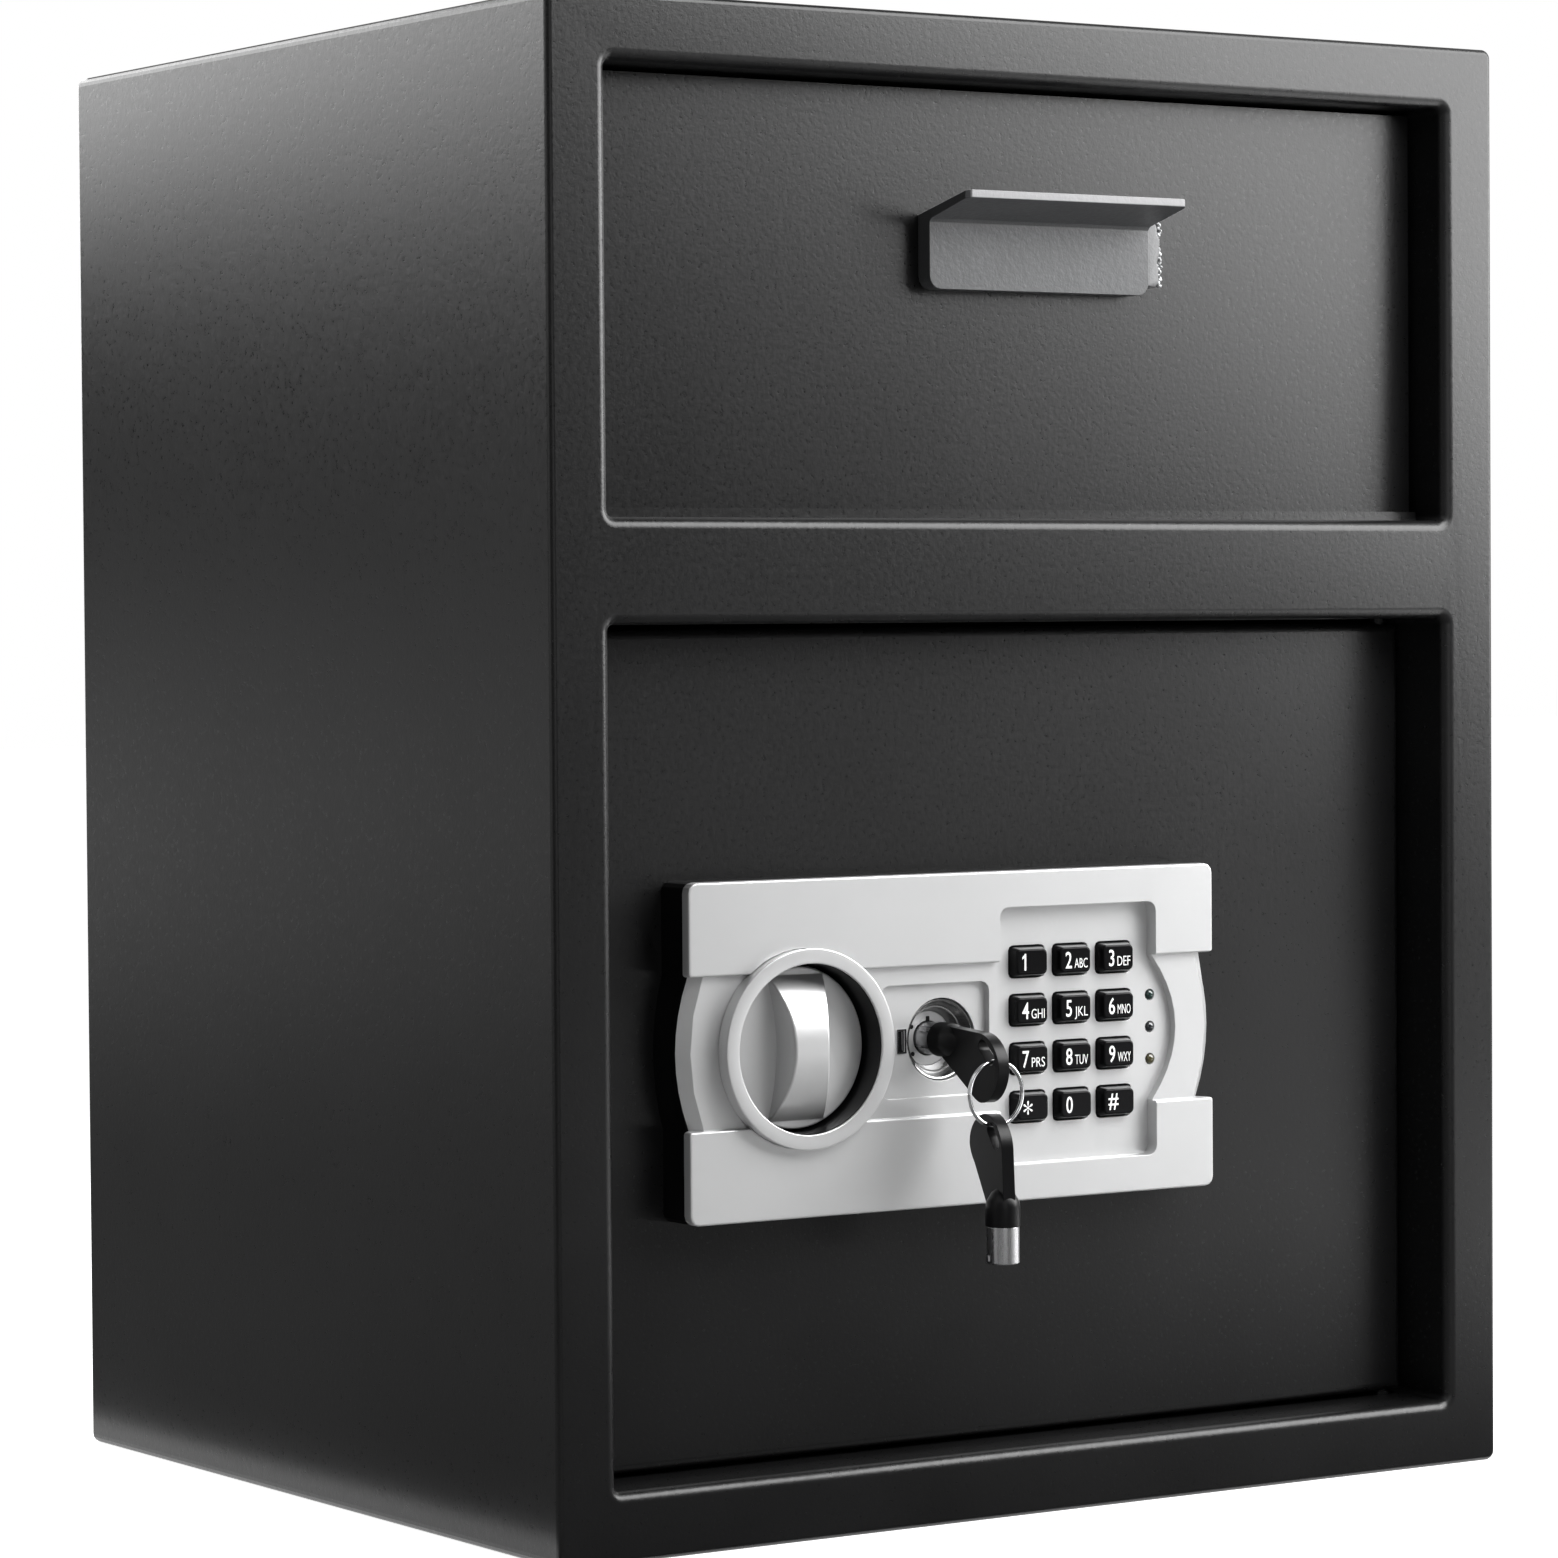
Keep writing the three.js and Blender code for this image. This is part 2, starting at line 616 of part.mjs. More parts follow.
// Sloping plate under the hopper that drops the load and stops a reaching hand.
function chuteBaffle() {
  const flange = 18;
  const lip = 10;
  const frontY = HOPPER_PIN_Y + HOPPER_SWEEP + CHUTE_THROAT;
  const line = [
    [SHELL_BACK, CHUTE_BACK_HEIGHT + flange],
    [SHELL_BACK, CHUTE_BACK_HEIGHT],
    [frontY, CHUTE_BACK_HEIGHT - CHUTE_FALL],
    [frontY, CHUTE_BACK_HEIGHT - CHUTE_FALL - lip],
  ];
  const plate = alongX(sheetOutline([...line].reverse(), CHUTE_SHEET), -INNER_X, INNER_X);
  const pitch = (2 * INNER_X) / TEETH;
  const toothDepth = 5;
  const foot = CHUTE_BACK_HEIGHT - CHUTE_FALL - lip;
  const notches = [];
  for (let i = 0; i < TEETH; i++) {
    const x = -INNER_X + (i + 0.5) * pitch;
    const notch = [
      new THREE.Vector2(x - pitch / 3, foot - HOLE_OVERCUT),
      new THREE.Vector2(x + pitch / 3, foot - HOLE_OVERCUT),
      new THREE.Vector2(x, foot + toothDepth),
    ];
    notches.push(alongY(notch, frontY - 2 * CHUTE_SHEET, frontY + 2 * CHUTE_SHEET));
  }
  return cut(plate, ...notches);
}

// Shelf behind the cross-bar that keeps the load off the door's lock.
function dividerShelf() {
  const middle = (DOOR_OPENING.z1 + HOPPER_OPENING.z0) / 2;
  const line = [
    [SHELL_FRONT, middle + SHELF_FLANGE],
    [SHELL_FRONT, middle],
    [SHELL_FRONT + SHELF_REACH, middle],
    [SHELL_FRONT + SHELF_REACH, middle - SHELF_FLANGE],
  ];
  return alongX(sheetOutline(line, CHUTE_SHEET), -INNER_X, INNER_X);
}

// Shouldered pin: the head lies outside the jamb, the shoulder fills the gap.
function hopperHingePin(side) {
  const head = 3;
  const shaft = HOPPER_PIN / 2;
  const wall = HOPPER_OPENING.x1;
  const rod = (radius, a, b) =>
    rodX(HOPPER_PIN_Y, HOPPER_PIN_Z, radius, Math.min(side * a, side * b), Math.max(side * a, side * b), 12);
  return join(
    rod(shaft + 2, wall + FRAME_SHEET, wall + FRAME_SHEET + head),
    rod(shaft, CHEEK_OUTER_X - TRAY_SHEET, wall + FRAME_SHEET + head / 2),
    rod(shaft + 1, CHEEK_OUTER_X + FIT, wall),
  );
}

function doorHingePin(edge, out) {
  const head = 2.5;
  const shaft = DOOR_PIN / 2;
  const wall = out > 0 ? DOOR_OPENING.z1 : DOOR_OPENING.z0;
  const rod = (radius, a, b) => rodZ(DOOR_PIN_X, DOOR_PIN_Y, radius, Math.min(a, b), Math.max(a, b), 12);
  return join(
    rod(shaft + 2, wall + out * FRAME_SHEET, wall + out * (FRAME_SHEET + head)),
    rod(shaft, edge - out * DOOR_PIN_GRIP, wall + out * (FRAME_SHEET + head / 2)),
    rod(shaft + 0.8, edge + out * FIT, wall),
  );
}

// Hopper

function hopperDoor() {
  const corner = OPENING_CORNER - HOPPER_GAP;
  const flange = 8;
  const face = roundedBlock(HOPPER_EDGES, corner, HOPPER_FACE, HOPPER_BACK);
  const top = block(HOPPER_EDGES.x0 + 2 * corner, HOPPER_EDGES.x1 - 2 * corner,
    HOPPER_BACK - HOPPER_SHEET / 2, HOPPER_BACK + flange,
    HOPPER_EDGES.z1 - 2 * HOPPER_SHEET, HOPPER_EDGES.z1 - HOPPER_SHEET);
  return join(face, top);
}

const HANDLE = {
  x0: HANDLE_OFF_CENTRE - HANDLE_WIDTH / 2,
  x1: HANDLE_OFF_CENTRE + HANDLE_WIDTH / 2,
  z0: HOPPER_OPENING.z1 - HANDLE_BELOW_TOP,
};

// A bent strip: an upright leg on the panel and a flange that rises to the front.
function hopperHandle() {
  const legFace = HOPPER_FACE - HANDLE_LEG;
  const legTop = HANDLE.z0 + HANDLE_LEG_HEIGHT;
  const tip = { y: legFace - HANDLE_FLANGE_REACH, z: legTop + HANDLE_FLANGE_RISE };
  const profile = [
    [HOPPER_FACE, HANDLE.z0],
    [legFace, HANDLE.z0],
    [legFace, legTop - 1],
    [legFace - 1, legTop],
    [tip.y, tip.z],
    [tip.y, tip.z + HANDLE_FLANGE],
    [legFace + 2, legTop + HANDLE_FLANGE],
    [HOPPER_FACE, legTop + HANDLE_FLANGE - 1],
  ].map(([y, z]) => new THREE.Vector2(y, z));
  const strip = alongX(profile, HANDLE.x0, HANDLE.x1);
  const outline = { x0: HANDLE.x0, x1: HANDLE.x1, z0: HANDLE.z0, z1: tip.z + 2 * HANDLE_CORNER };
  const rounded = roundedBlock(outline, HANDLE_CORNER, tip.y - 1, HOPPER_FACE + 1);
  const snip = 1.5;
  const corners = [[HANDLE.x0, 1], [HANDLE.x1, -1]].map(([x, side]) => alongZ([
    new THREE.Vector2(x - side, tip.y - 1),
    new THREE.Vector2(x + side * snip, tip.y - 1),
    new THREE.Vector2(x + side * snip, tip.y),
    new THREE.Vector2(x, tip.y + snip),
    new THREE.Vector2(x - side, tip.y + snip),
  ], legTop, tip.z + 2 * HANDLE_CORNER));
  return cut(strip.intersect(rounded), ...corners);
}

// Lumps of weld metal along the right end of the handle's leg.
function handleWeldBead() {
  const lumps = 7;
  const length = HANDLE_LEG_HEIGHT - HANDLE_CORNER;
  const bodies = [];
  for (let i = 0; i < lumps; i++) {
    const size = WELD_LUMP * (1 + 0.2 * Math.sin(4 * i + 1));
    const lump = new THREE.SphereGeometry(size, 8, 6);
    lump.scale(WELD_WIDTH / 2 / WELD_LUMP + 0.3, 1.3, 1);
    lump.translate(HANDLE.x1 + WELD_WIDTH / 3 + 0.8 * Math.sin(7 * i), HOPPER_FACE - size / 2,
      HANDLE.z0 + HANDLE_CORNER + (i / (lumps - 1)) * length);
    bodies.push(toSolid(lump));
  }
  const reach = 10;
  const room = block(HANDLE.x1 + FIT, HANDLE.x1 + reach, HOPPER_FACE - HANDLE_LEG, HOPPER_FACE - FIT,
    HANDLE.z0, HANDLE.z0 + HANDLE_LEG_HEIGHT + reach);
  return join(...bodies).intersect(room);
}

// Quadrant side plate of the hopper, with the hole for its hinge pin.
function hopperCheek(side) {
  const foot = HOPPER_PIN_Z - HOPPER_PIN_ABOVE_FOOT + 1;
  const reach = Math.hypot(TRAY_END.y - HOPPER_PIN_Y, TRAY_END.z - HOPPER_PIN_Z);
  const start = Math.atan2(TRAY_END.z - HOPPER_PIN_Z, TRAY_END.y - HOPPER_PIN_Y);
  const end = THREE.MathUtils.degToRad(62);
  const outline = [
    [HOPPER_BACK, foot],
    [HOPPER_PIN_Y + HOPPER_PIN, foot],
    [HOPPER_PIN_Y + 2 * HOPPER_PIN, HOPPER_PIN_Z - 4],
  ];
  const arcSteps = 10;
  for (let i = 0; i <= arcSteps; i++) {
    const angle = start + (i / arcSteps) * (end - start);
    outline.push([HOPPER_PIN_Y + reach * Math.cos(angle), HOPPER_PIN_Z + reach * Math.sin(angle)]);
  }
  outline.push([HOPPER_BACK, HOPPER_EDGES.z1 - CHEEK_BELOW_TOP]);
  const points = outline.map(([y, z]) => new THREE.Vector2(y, z));
  const inner = CHEEK_OUTER_X - TRAY_SHEET;
  const x0 = side > 0 ? inner : -CHEEK_OUTER_X;
  const hole = rodX(HOPPER_PIN_Y, HOPPER_PIN_Z, HOPPER_PIN / 2 + FIT,
    x0 - HOLE_OVERCUT, x0 + TRAY_SHEET + HOLE_OVERCUT);
  return cut(alongX(points, x0, x0 + TRAY_SHEET), hole);
}

function hopperTray() {
  const inner = CHEEK_OUTER_X - TRAY_SHEET;
  const flange = 12;
  const start = HOPPER_PIN_Z + TRAY_START_ABOVE_PIN;
  const line = [
    [HOPPER_BACK, start + flange],
    [HOPPER_BACK, start],
    [TRAY_END.y, TRAY_END.z],
  ];
  return alongX(sheetOutline(line, TRAY_SHEET), -inner, inner);
}

// Door

function doorPanel() {
  const plate = roundedBlock(DOOR_EDGES, OPENING_CORNER - DOOR_GAP, DOOR_FACE, DOOR_BACK);
  const bore = DOOR_PIN / 2 + FIT;
  const depth = DOOR_PIN_GRIP + 1;
  return cut(
    plate,
    rodZ(DOOR_PIN_X, DOOR_PIN_Y, bore, DOOR_EDGES.z0 - HOLE_OVERCUT, DOOR_EDGES.z0 + depth),
    rodZ(DOOR_PIN_X, DOOR_PIN_Y, bore, DOOR_EDGES.z1 - depth, DOOR_EDGES.z1 + HOLE_OVERCUT),
    rodY(KNOB_X, LOCK_Z, SPINDLE / 2 + RUNNING_FIT, DOOR_FACE - HOLE_OVERCUT, DOOR_BACK + HOLE_OVERCUT),
    rodY(CYLINDER_X, LOCK_Z, CYLINDER_BARREL / 2 + FIT, DOOR_FACE - HOLE_OVERCUT, DOOR_BACK + HOLE_OVERCUT),
  );
}

// The lock's outline: a plate with a middle band whose ends bulge outward.
function bandedOutline(half, bulge, corner, by) {
  const arcSteps = 8;
  const points = [];
  const side = (sign) => {
    for (let i = 0; i <= arcSteps; i++) {
      const share = (2 * i) / arcSteps - 1;
      const z = LOCK_Z + sign * share * (BAND_HEIGHT / 2);
      points.push(new THREE.Vector2(LOCK_X + sign * (half + bulge * (1 - share * share)), z));
    }
  };
  const corners = roundedOutline(
    { x0: LOCK_X - half, x1: LOCK_X + half, z0: LOCK.z0 + by, z1: LOCK.z1 - by }, corner, 3);
  points.push(...corners.slice(0, 4));
  side(1);
  points.push(...corners.slice(4, 12));
  side(-1);
  points.push(...corners.slice(12, 16));
  return points;
}

function rearBlock(margin) {
  return {
    x0: KNOB_X + BEZEL_FOOT / 2 - 2 - margin,
    x1: LENS_X + 9 + margin,
    z0: LOCK_Z - KEYPAD_HEIGHT / 2 - 2 - margin,
    z1: LOCK_Z + KEYPAD_HEIGHT / 2 + 2 + margin,
  };
}

function lockBase() {
  const half = LOCK_WIDTH / 2;
  const outer = alongY(bandedOutline(half, BAND_BULGE, LOCK_CORNER, 0), FASCIA_BACK, DOOR_FACE);
  const room = alongY(
    bandedOutline(half - BASE_WALL, BAND_BULGE, LOCK_CORNER - 1, BASE_WALL), BASE_INNER, DOOR_FACE + 1);
  const window = rearBlock(FIT);
  return cut(
    outer,
    room,
    block(window.x0, window.x1, FASCIA_BACK - 1, BASE_INNER + 1, window.z0, window.z1),
    rodY(KNOB_X, LOCK_Z, BEZEL_BORE / 2 + BEZEL_SLEEVE + FIT, FASCIA_BACK - 1, BASE_INNER + 1, 48),
  );
}

// The keypad's recess: a rounded rectangle with an arc to its right at the band.
function keypadRecess() {
  const box = {
    x0: KEYPAD_X - KEYPAD_WIDTH / 2,
    x1: KEYPAD_X + KEYPAD_WIDTH / 2,
    z0: LOCK_Z - KEYPAD_HEIGHT / 2,
    z1: LOCK_Z + KEYPAD_HEIGHT / 2,
  };
  const arc = [];
  const arcSteps = 10;
  for (let i = 0; i <= arcSteps; i++) {
    const share = (2 * i) / arcSteps - 1;
    arc.push(new THREE.Vector2(
      box.x1 + KEYPAD_BULGE * (1 - share * share), LOCK_Z + share * (BAND_HEIGHT / 2 - FIT)));
  }
  arc.push(new THREE.Vector2(box.x1 - KEYPAD_CORNER, LOCK_Z + BAND_HEIGHT / 2 - FIT));
  arc.push(new THREE.Vector2(box.x1 - KEYPAD_CORNER, LOCK_Z - BAND_HEIGHT / 2 + FIT));
  return join(
    roundedBlock(box, KEYPAD_CORNER, FASCIA_FACE - 1, KEYPAD_FLOOR),
    alongY(arc, FASCIA_FACE - 1, KEYPAD_FLOOR),
  );
}

function eachKey() {
  const names = ['1', '2', '3', '4', '5', '6', '7', '8', '9', 'star', '0', 'hash'];
  return names.map((name, i) => ({
    name,
    x: KEYPAD_X + ((i % 3) - 1) * KEY_PITCH_X,
    z: LOCK_Z + (1.5 - Math.floor(i / 3)) * KEY_PITCH_Z,
  }));
}

function keyBox(key, margin) {
  return {
    x0: key.x - KEY_WIDTH / 2 - margin,
    x1: key.x + KEY_WIDTH / 2 + margin,
    z0: key.z - KEY_HEIGHT / 2 - margin,
    z1: key.z + KEY_HEIGHT / 2 + margin,
  };
}

function lensSpots() {
  return [1, 0, -1].map((row) => LOCK_Z + row * LENS_PITCH);
}

function lockFascia() {
  const half = LOCK_WIDTH / 2;
  const chamfer = 3;
  const barRound = 0.8;
  const bar = (z0, z1) => softBlock(
    { x0: LOCK.x0, x1: LOCK.x1, z0, z1 }, LOCK_CORNER, barRound, FASCIA_FACE, FASCIA_BACK, 3, 2);
  const squareOff = (z0, z1) => softBlock(
    { x0: LOCK.x0, x1: LOCK.x1, z0, z1 }, 1, barRound, FASCIA_FACE, FASCIA_BACK, 3, 2);
  const bars = join(
    bar(LOCK.z0, BAND_Z0),
    squareOff(BAND_Z0 - 3 * LOCK_CORNER, BAND_Z0),
    bar(BAND_Z1, LOCK.z1),
    squareOff(BAND_Z1, BAND_Z1 + 3 * LOCK_CORNER),
  );
  const band = lofted([
    { y: BAND_FACE, outline: bandOutline(half - chamfer) },
    { y: FASCIA_BACK, outline: bandOutline(half) },
  ]);
  const rear = rearBlock(0);
  const step = block(rear.x0, rear.x1, BAND_FACE + 1, FASCIA_REAR, rear.z0, rear.z1);
  const cylinderPanel = {
    x0: KNOB_X + BEZEL_FOOT / 2 - 1,
    x1: CYLINDER_X + CYLINDER_PANEL_RIGHT,
    z0: LOCK_Z - CYLINDER_PANEL_HEIGHT / 2,
    z1: LOCK_Z + CYLINDER_PANEL_HEIGHT / 2,
  };
  const keyHoles = eachKey().map((key) =>
    roundedBlock(keyBox(key, FIT), 1.5, KEYPAD_FLOOR - 1, FASCIA_REAR + 1, 2));
  const lensHoles = lensSpots().map((z) =>
    rodY(LENS_X, z, LENS_DIAMETER / 2 + FIT, KEYPAD_FLOOR - 1, FASCIA_REAR + 1, 12));
  const notchX = CYLINDER_X - NOTCH_FROM_CYLINDER;
  return cut(
    join(bars, band, step),
    keypadRecess(),
    roundedBlock(cylinderPanel, 3, BAND_FACE - 1, CYLINDER_PANEL_FACE, 3),
    rodY(KNOB_X, LOCK_Z, BEZEL_FOOT / 2 + FIT, FASCIA_FACE - 1, BAND_FACE, 48),
    rodY(KNOB_X, LOCK_Z, BEZEL_BORE / 2 + BEZEL_SLEEVE + FIT, FASCIA_FACE - 1, FASCIA_REAR + 1, 48),
    rodY(CYLINDER_X, LOCK_Z, CYLINDER_COLLAR / 2 + FIT, FASCIA_FACE - 1, FASCIA_REAR + 1, 32),
    block(notchX - NOTCH_WIDTH / 2, notchX + NOTCH_WIDTH / 2, BAND_FACE, FASCIA_REAR + 1,
      LOCK_Z - NOTCH_HEIGHT / 2, LOCK_Z + NOTCH_HEIGHT / 2),
    ...keyHoles,
    ...lensHoles,
  );
}

function bandOutline(half) {
  const arcSteps = 8;
  const points = [];
  for (const sign of [1, -1]) {
    for (let i = 0; i <= arcSteps; i++) {
      const share = (2 * i) / arcSteps - 1;
      const x = LOCK_X + sign * (half - 1.3 + (BAND_BULGE + 1.3) * (1 - share * share));
      points.push(new THREE.Vector2(x, LOCK_Z + sign * share * (BAND_HEIGHT / 2)));
    }
  }
  return points;
}

// The ring round the knob, with a sleeve that lines its well.
function knobBezel() {
  const bore = BEZEL_BORE / 2;
  const face = FASCIA_FACE - BEZEL_PROUD;
  return turned([
    [bore, face + 0.4],
    [bore + 0.4, face],
    [BEZEL_FACE / 2 - 0.6, face],
    [BEZEL_FACE / 2, face + 0.6],
    [BEZEL_FOOT / 2, BAND_FACE],
    [bore + BEZEL_SLEEVE, BAND_FACE],
    [bore + BEZEL_SLEEVE, BASE_INNER + 2],
    [bore, BASE_INNER + 2],
    [bore, face + 0.4],
  ], KNOB_X, LOCK_Z, 48);
}

// A disc with a crowned grip across it, wider at its foot than at its crest.
function knob() {
  const rear = KNOB_FACE + KNOB_THICKNESS;
  const disc = turned([
    [0, KNOB_FACE],
    [KNOB_DIAMETER / 2 - 0.5, KNOB_FACE],
    [KNOB_DIAMETER / 2, KNOB_FACE + 0.5],
    [KNOB_DIAMETER / 2, rear],
    [SPINDLE, rear],
    [SPINDLE, DOOR_FACE - FIT],
    [0, DOOR_FACE - FIT],
  ], KNOB_X, LOCK_Z, 48);
  return join(disc, knobGrip());
}

// The grip's crest is an arc, and its flanks keep their slope, so its foot
// narrows towards both ends. It is lofted upright and laid onto the disc.
function knobGrip() {
  const half = GRIP_LENGTH / 2;
  const radius = (half * half + GRIP_HEIGHT * GRIP_HEIGHT) / (2 * GRIP_HEIGHT);
  const spread = Math.asin(half / radius);
  const slope = (GRIP_FOOT - GRIP_TOP) / 2 / GRIP_HEIGHT;
  const top = GRIP_TOP / 2;
  const stations = [];
  const arcSteps = 16;
  for (let i = 0; i <= arcSteps; i++) {
    const angle = ((2 * i) / arcSteps - 1) * spread;
    const height = Math.max(GRIP_HEIGHT - radius * (1 - Math.cos(angle)), GRIP_END);
    const chamfer = Math.min(GRIP_CHAMFER, height / 2);
    const foot = top + slope * height;
    const outline = [
      [-foot, -1],
      [foot, -1],
      [foot, 0],
      [top + slope * chamfer, height - chamfer],
      [top - chamfer / 2, height],
      [-top + chamfer / 2, height],
      [-top - slope * chamfer, height - chamfer],
      [-foot, 0],
    ].map(([x, z]) => new THREE.Vector2(x, z));
    stations.push({ y: radius * Math.sin(angle), outline });
  }
  return lofted(stations).rotate([90, 0, 0]).translate([KNOB_X, KNOB_FACE, LOCK_Z]);
}

function knobSpindle() {
  return rodY(KNOB_X, LOCK_Z, SPINDLE / 2, DOOR_FACE - FIT, CAM_FRONT, 20);
}

// Lever on the spindle with a pin that moves the bolt carriage.
function boltCam() {
  const start = THREE.MathUtils.degToRad(CAM_TURN / 2);
  const pinX = KNOB_X + CAM_THROW * Math.sin(start);
  const pinZ = LOCK_Z + CAM_THROW * Math.cos(start);
  const hub = rodY(KNOB_X, LOCK_Z, SPINDLE / 2 + 4, CAM_FRONT, CAM_BACK, 20);
  const eye = rodY(pinX, pinZ, CAM_PIN / 2 + 2, CAM_FRONT, CAM_BACK, 16);
  const side = CAM_PIN / 2 + 1.5;
  const across = [Math.cos(start) * side, -Math.sin(start) * side];
  const arm = alongY([
    new THREE.Vector2(KNOB_X - across[0], LOCK_Z - across[1]),
    new THREE.Vector2(KNOB_X + across[0], LOCK_Z + across[1]),
    new THREE.Vector2(pinX + across[0], pinZ + across[1]),
    new THREE.Vector2(pinX - across[0], pinZ - across[1]),
  ], CAM_FRONT, CAM_BACK);
  const pin = rodY(pinX, pinZ, CAM_PIN / 2, CAM_BACK - 1, WEB_BACK + 1, 16);
  return join(hub, eye, arm, pin);
}

function keypadKey(key) {
  const tip = KEYPAD_FLOOR - KEY_PROUD;
  const edge = 0.5;
  const corner = 1.5;
  const outline = (by) => roundedOutline(keyBox(key, -by), corner, 2);
  return join(
    lofted([
      { y: tip, outline: outline(KEY_TAPER + edge) },
      { y: tip + edge, outline: outline(KEY_TAPER) },
      { y: KEYPAD_FLOOR, outline: outline(0) },
      { y: KEY_FLANGE_FRONT + KEY_FLANGE / 2, outline: outline(0) },
    ]),
    alongY(outline(-KEY_FLANGE), KEY_FLANGE_FRONT, KEY_REAR),
  );
}

// Rubber mat with a dome under each key and a rim that seats on the fascia.
function keypadMat() {
  const margin = 3;
  const field = {
    x0: KEYPAD_X - KEY_PITCH_X - KEY_WIDTH / 2 - margin,
    x1: KEYPAD_X + KEY_PITCH_X + KEY_WIDTH / 2 + margin,
    z0: LOCK_Z - 1.5 * KEY_PITCH_Z - KEY_HEIGHT / 2 - margin,
    z1: LOCK_Z + 1.5 * KEY_PITCH_Z + KEY_HEIGHT / 2 + margin,
  };
  const hollow = inset(field, 1.2);
  const tray = block(field.x0, field.x1, FASCIA_REAR, BOARD_FRONT, field.z0, field.z1);
  return cut(tray, block(hollow.x0, hollow.x1, FASCIA_REAR - 1, MAT_FRONT, hollow.z0, hollow.z1));
}

function circuitBoard() {
  const margin = 6;
  const box = {
    x0: KEYPAD_X - KEY_PITCH_X - KEY_WIDTH / 2 - margin,
    x1: LENS_X + margin,
    z0: LOCK_Z - 1.5 * KEY_PITCH_Z - KEY_HEIGHT / 2 - margin,
    z1: LOCK_Z + 1.5 * KEY_PITCH_Z + KEY_HEIGHT / 2 + margin,
  };
  const board = block(box.x0, box.x1, BOARD_FRONT, BOARD_FRONT + BOARD_SHEET, box.z0, box.z1);
  const chip = block(KEYPAD_X - 7, KEYPAD_X + 7, BOARD_FRONT + BOARD_SHEET / 2,
    BOARD_FRONT + BOARD_SHEET + 1.6, LOCK_Z - 8, LOCK_Z + 8);
  return join(board, chip);
}

// Three lenses on one moulded strip that stands on the circuit board.
function statusLights() {
  const tip = KEYPAD_FLOOR - LENS_PROUD;
  const radius = LENS_DIAMETER / 2;
  const strip = 1.2;
  const lenses = lensSpots().map((z) => turned([
    [0, tip],
    [radius * 0.6, tip + 0.25],
    [radius, KEYPAD_FLOOR + 0.3],
    [radius, BOARD_FRONT - strip / 2],
    [0, BOARD_FRONT - strip / 2],
  ], LENS_X, z, 12));
  const foot = block(LENS_X - radius, LENS_X + radius, BOARD_FRONT - strip, BOARD_FRONT,
    LOCK_Z - LENS_PITCH - radius, LOCK_Z + LENS_PITCH + radius);
  return join(foot, ...lenses);
}

const PLUG_REAR = DOOR_BACK + 14;
const POST_TIP = CYLINDER_FACE_Y - 0.6;
const PLUG_SHOULDER = CYLINDER_FACE_Y + KEY_INSERTED + FIT;

// Chrome lock cylinder with a dished collar and a flange against the door.
function cylinderBody() {
  const bore = KEY_TUBE / 2 + FIT;
  return turned([
    [bore, CYLINDER_FACE_Y],
    [CYLINDER_FACE / 2, CYLINDER_FACE_Y],
    [CYLINDER_COLLAR / 2 - 1, CYLINDER_PANEL_FACE + 0.4],
    [CYLINDER_COLLAR / 2, CYLINDER_PANEL_FACE + 0.4],
    [CYLINDER_COLLAR / 2, DOOR_FACE],
    [CYLINDER_BARREL / 2, DOOR_FACE],
    [CYLINDER_BARREL / 2, DOOR_BACK + 10],
    [bore, DOOR_BACK + 10],
    [bore, CYLINDER_FACE_Y],
  ], CYLINDER_X, LOCK_Z);
}

// Turning plug: a post inside the key's tube, a barrel, and a tail cam.
function cylinderPlug() {
  const post = KEY_TUBE_BORE / 2 - FIT;
  const barrel = KEY_TUBE / 2;
  const shaft = turned([
    [0, POST_TIP],
    [post, POST_TIP],
    [post, PLUG_SHOULDER],
    [barrel, PLUG_SHOULDER],
    [barrel, PLUG_REAR],
    [0, PLUG_REAR],
  ], CYLINDER_X, LOCK_Z, 24);
  const armLength = 20;
  const armHalf = 4;
  const arm = block(CYLINDER_X - armHalf, CYLINDER_X + armHalf, PLUG_REAR - 3, PLUG_REAR,
    LOCK_Z - armHalf, LOCK_Z + armLength);
  return join(shaft, arm);
}

// Keys. A key is drawn along its own axis: a runs from the tube's tip to the
// bow's end, and b across it, away from the side where the bow bulges.

function keyTube(place) {
  const stemEnd = KEY_TUBE_LENGTH + KEY_NECK_LENGTH - 1;
  const shape = turned([
    [KEY_TUBE_BORE / 2, 0],
    [KEY_TUBE / 2 - 0.4, 0],
    [KEY_TUBE / 2, 0.4],
    [KEY_TUBE / 2, KEY_TUBE_LENGTH],
    [KEY_STEM / 2, KEY_TUBE_LENGTH],
    [KEY_STEM / 2, stemEnd],
    [0, stemEnd],
    [0, KEY_TUBE_LENGTH - 1],
    [KEY_TUBE_BORE / 2, KEY_TUBE_LENGTH - 1],
    [KEY_TUBE_BORE / 2, 0],
  ], 0, 0, 20);
  return shape.transform(place);
}

// The two ends of the slot that the ring hangs in.
function bowSlot() {
  const end = KEY_TUBE_LENGTH + KEY_BOW_LENGTH;
  return [{ a: end - 8.3, b: -0.5 }, { a: end - 4.3, b: -4 }];
}

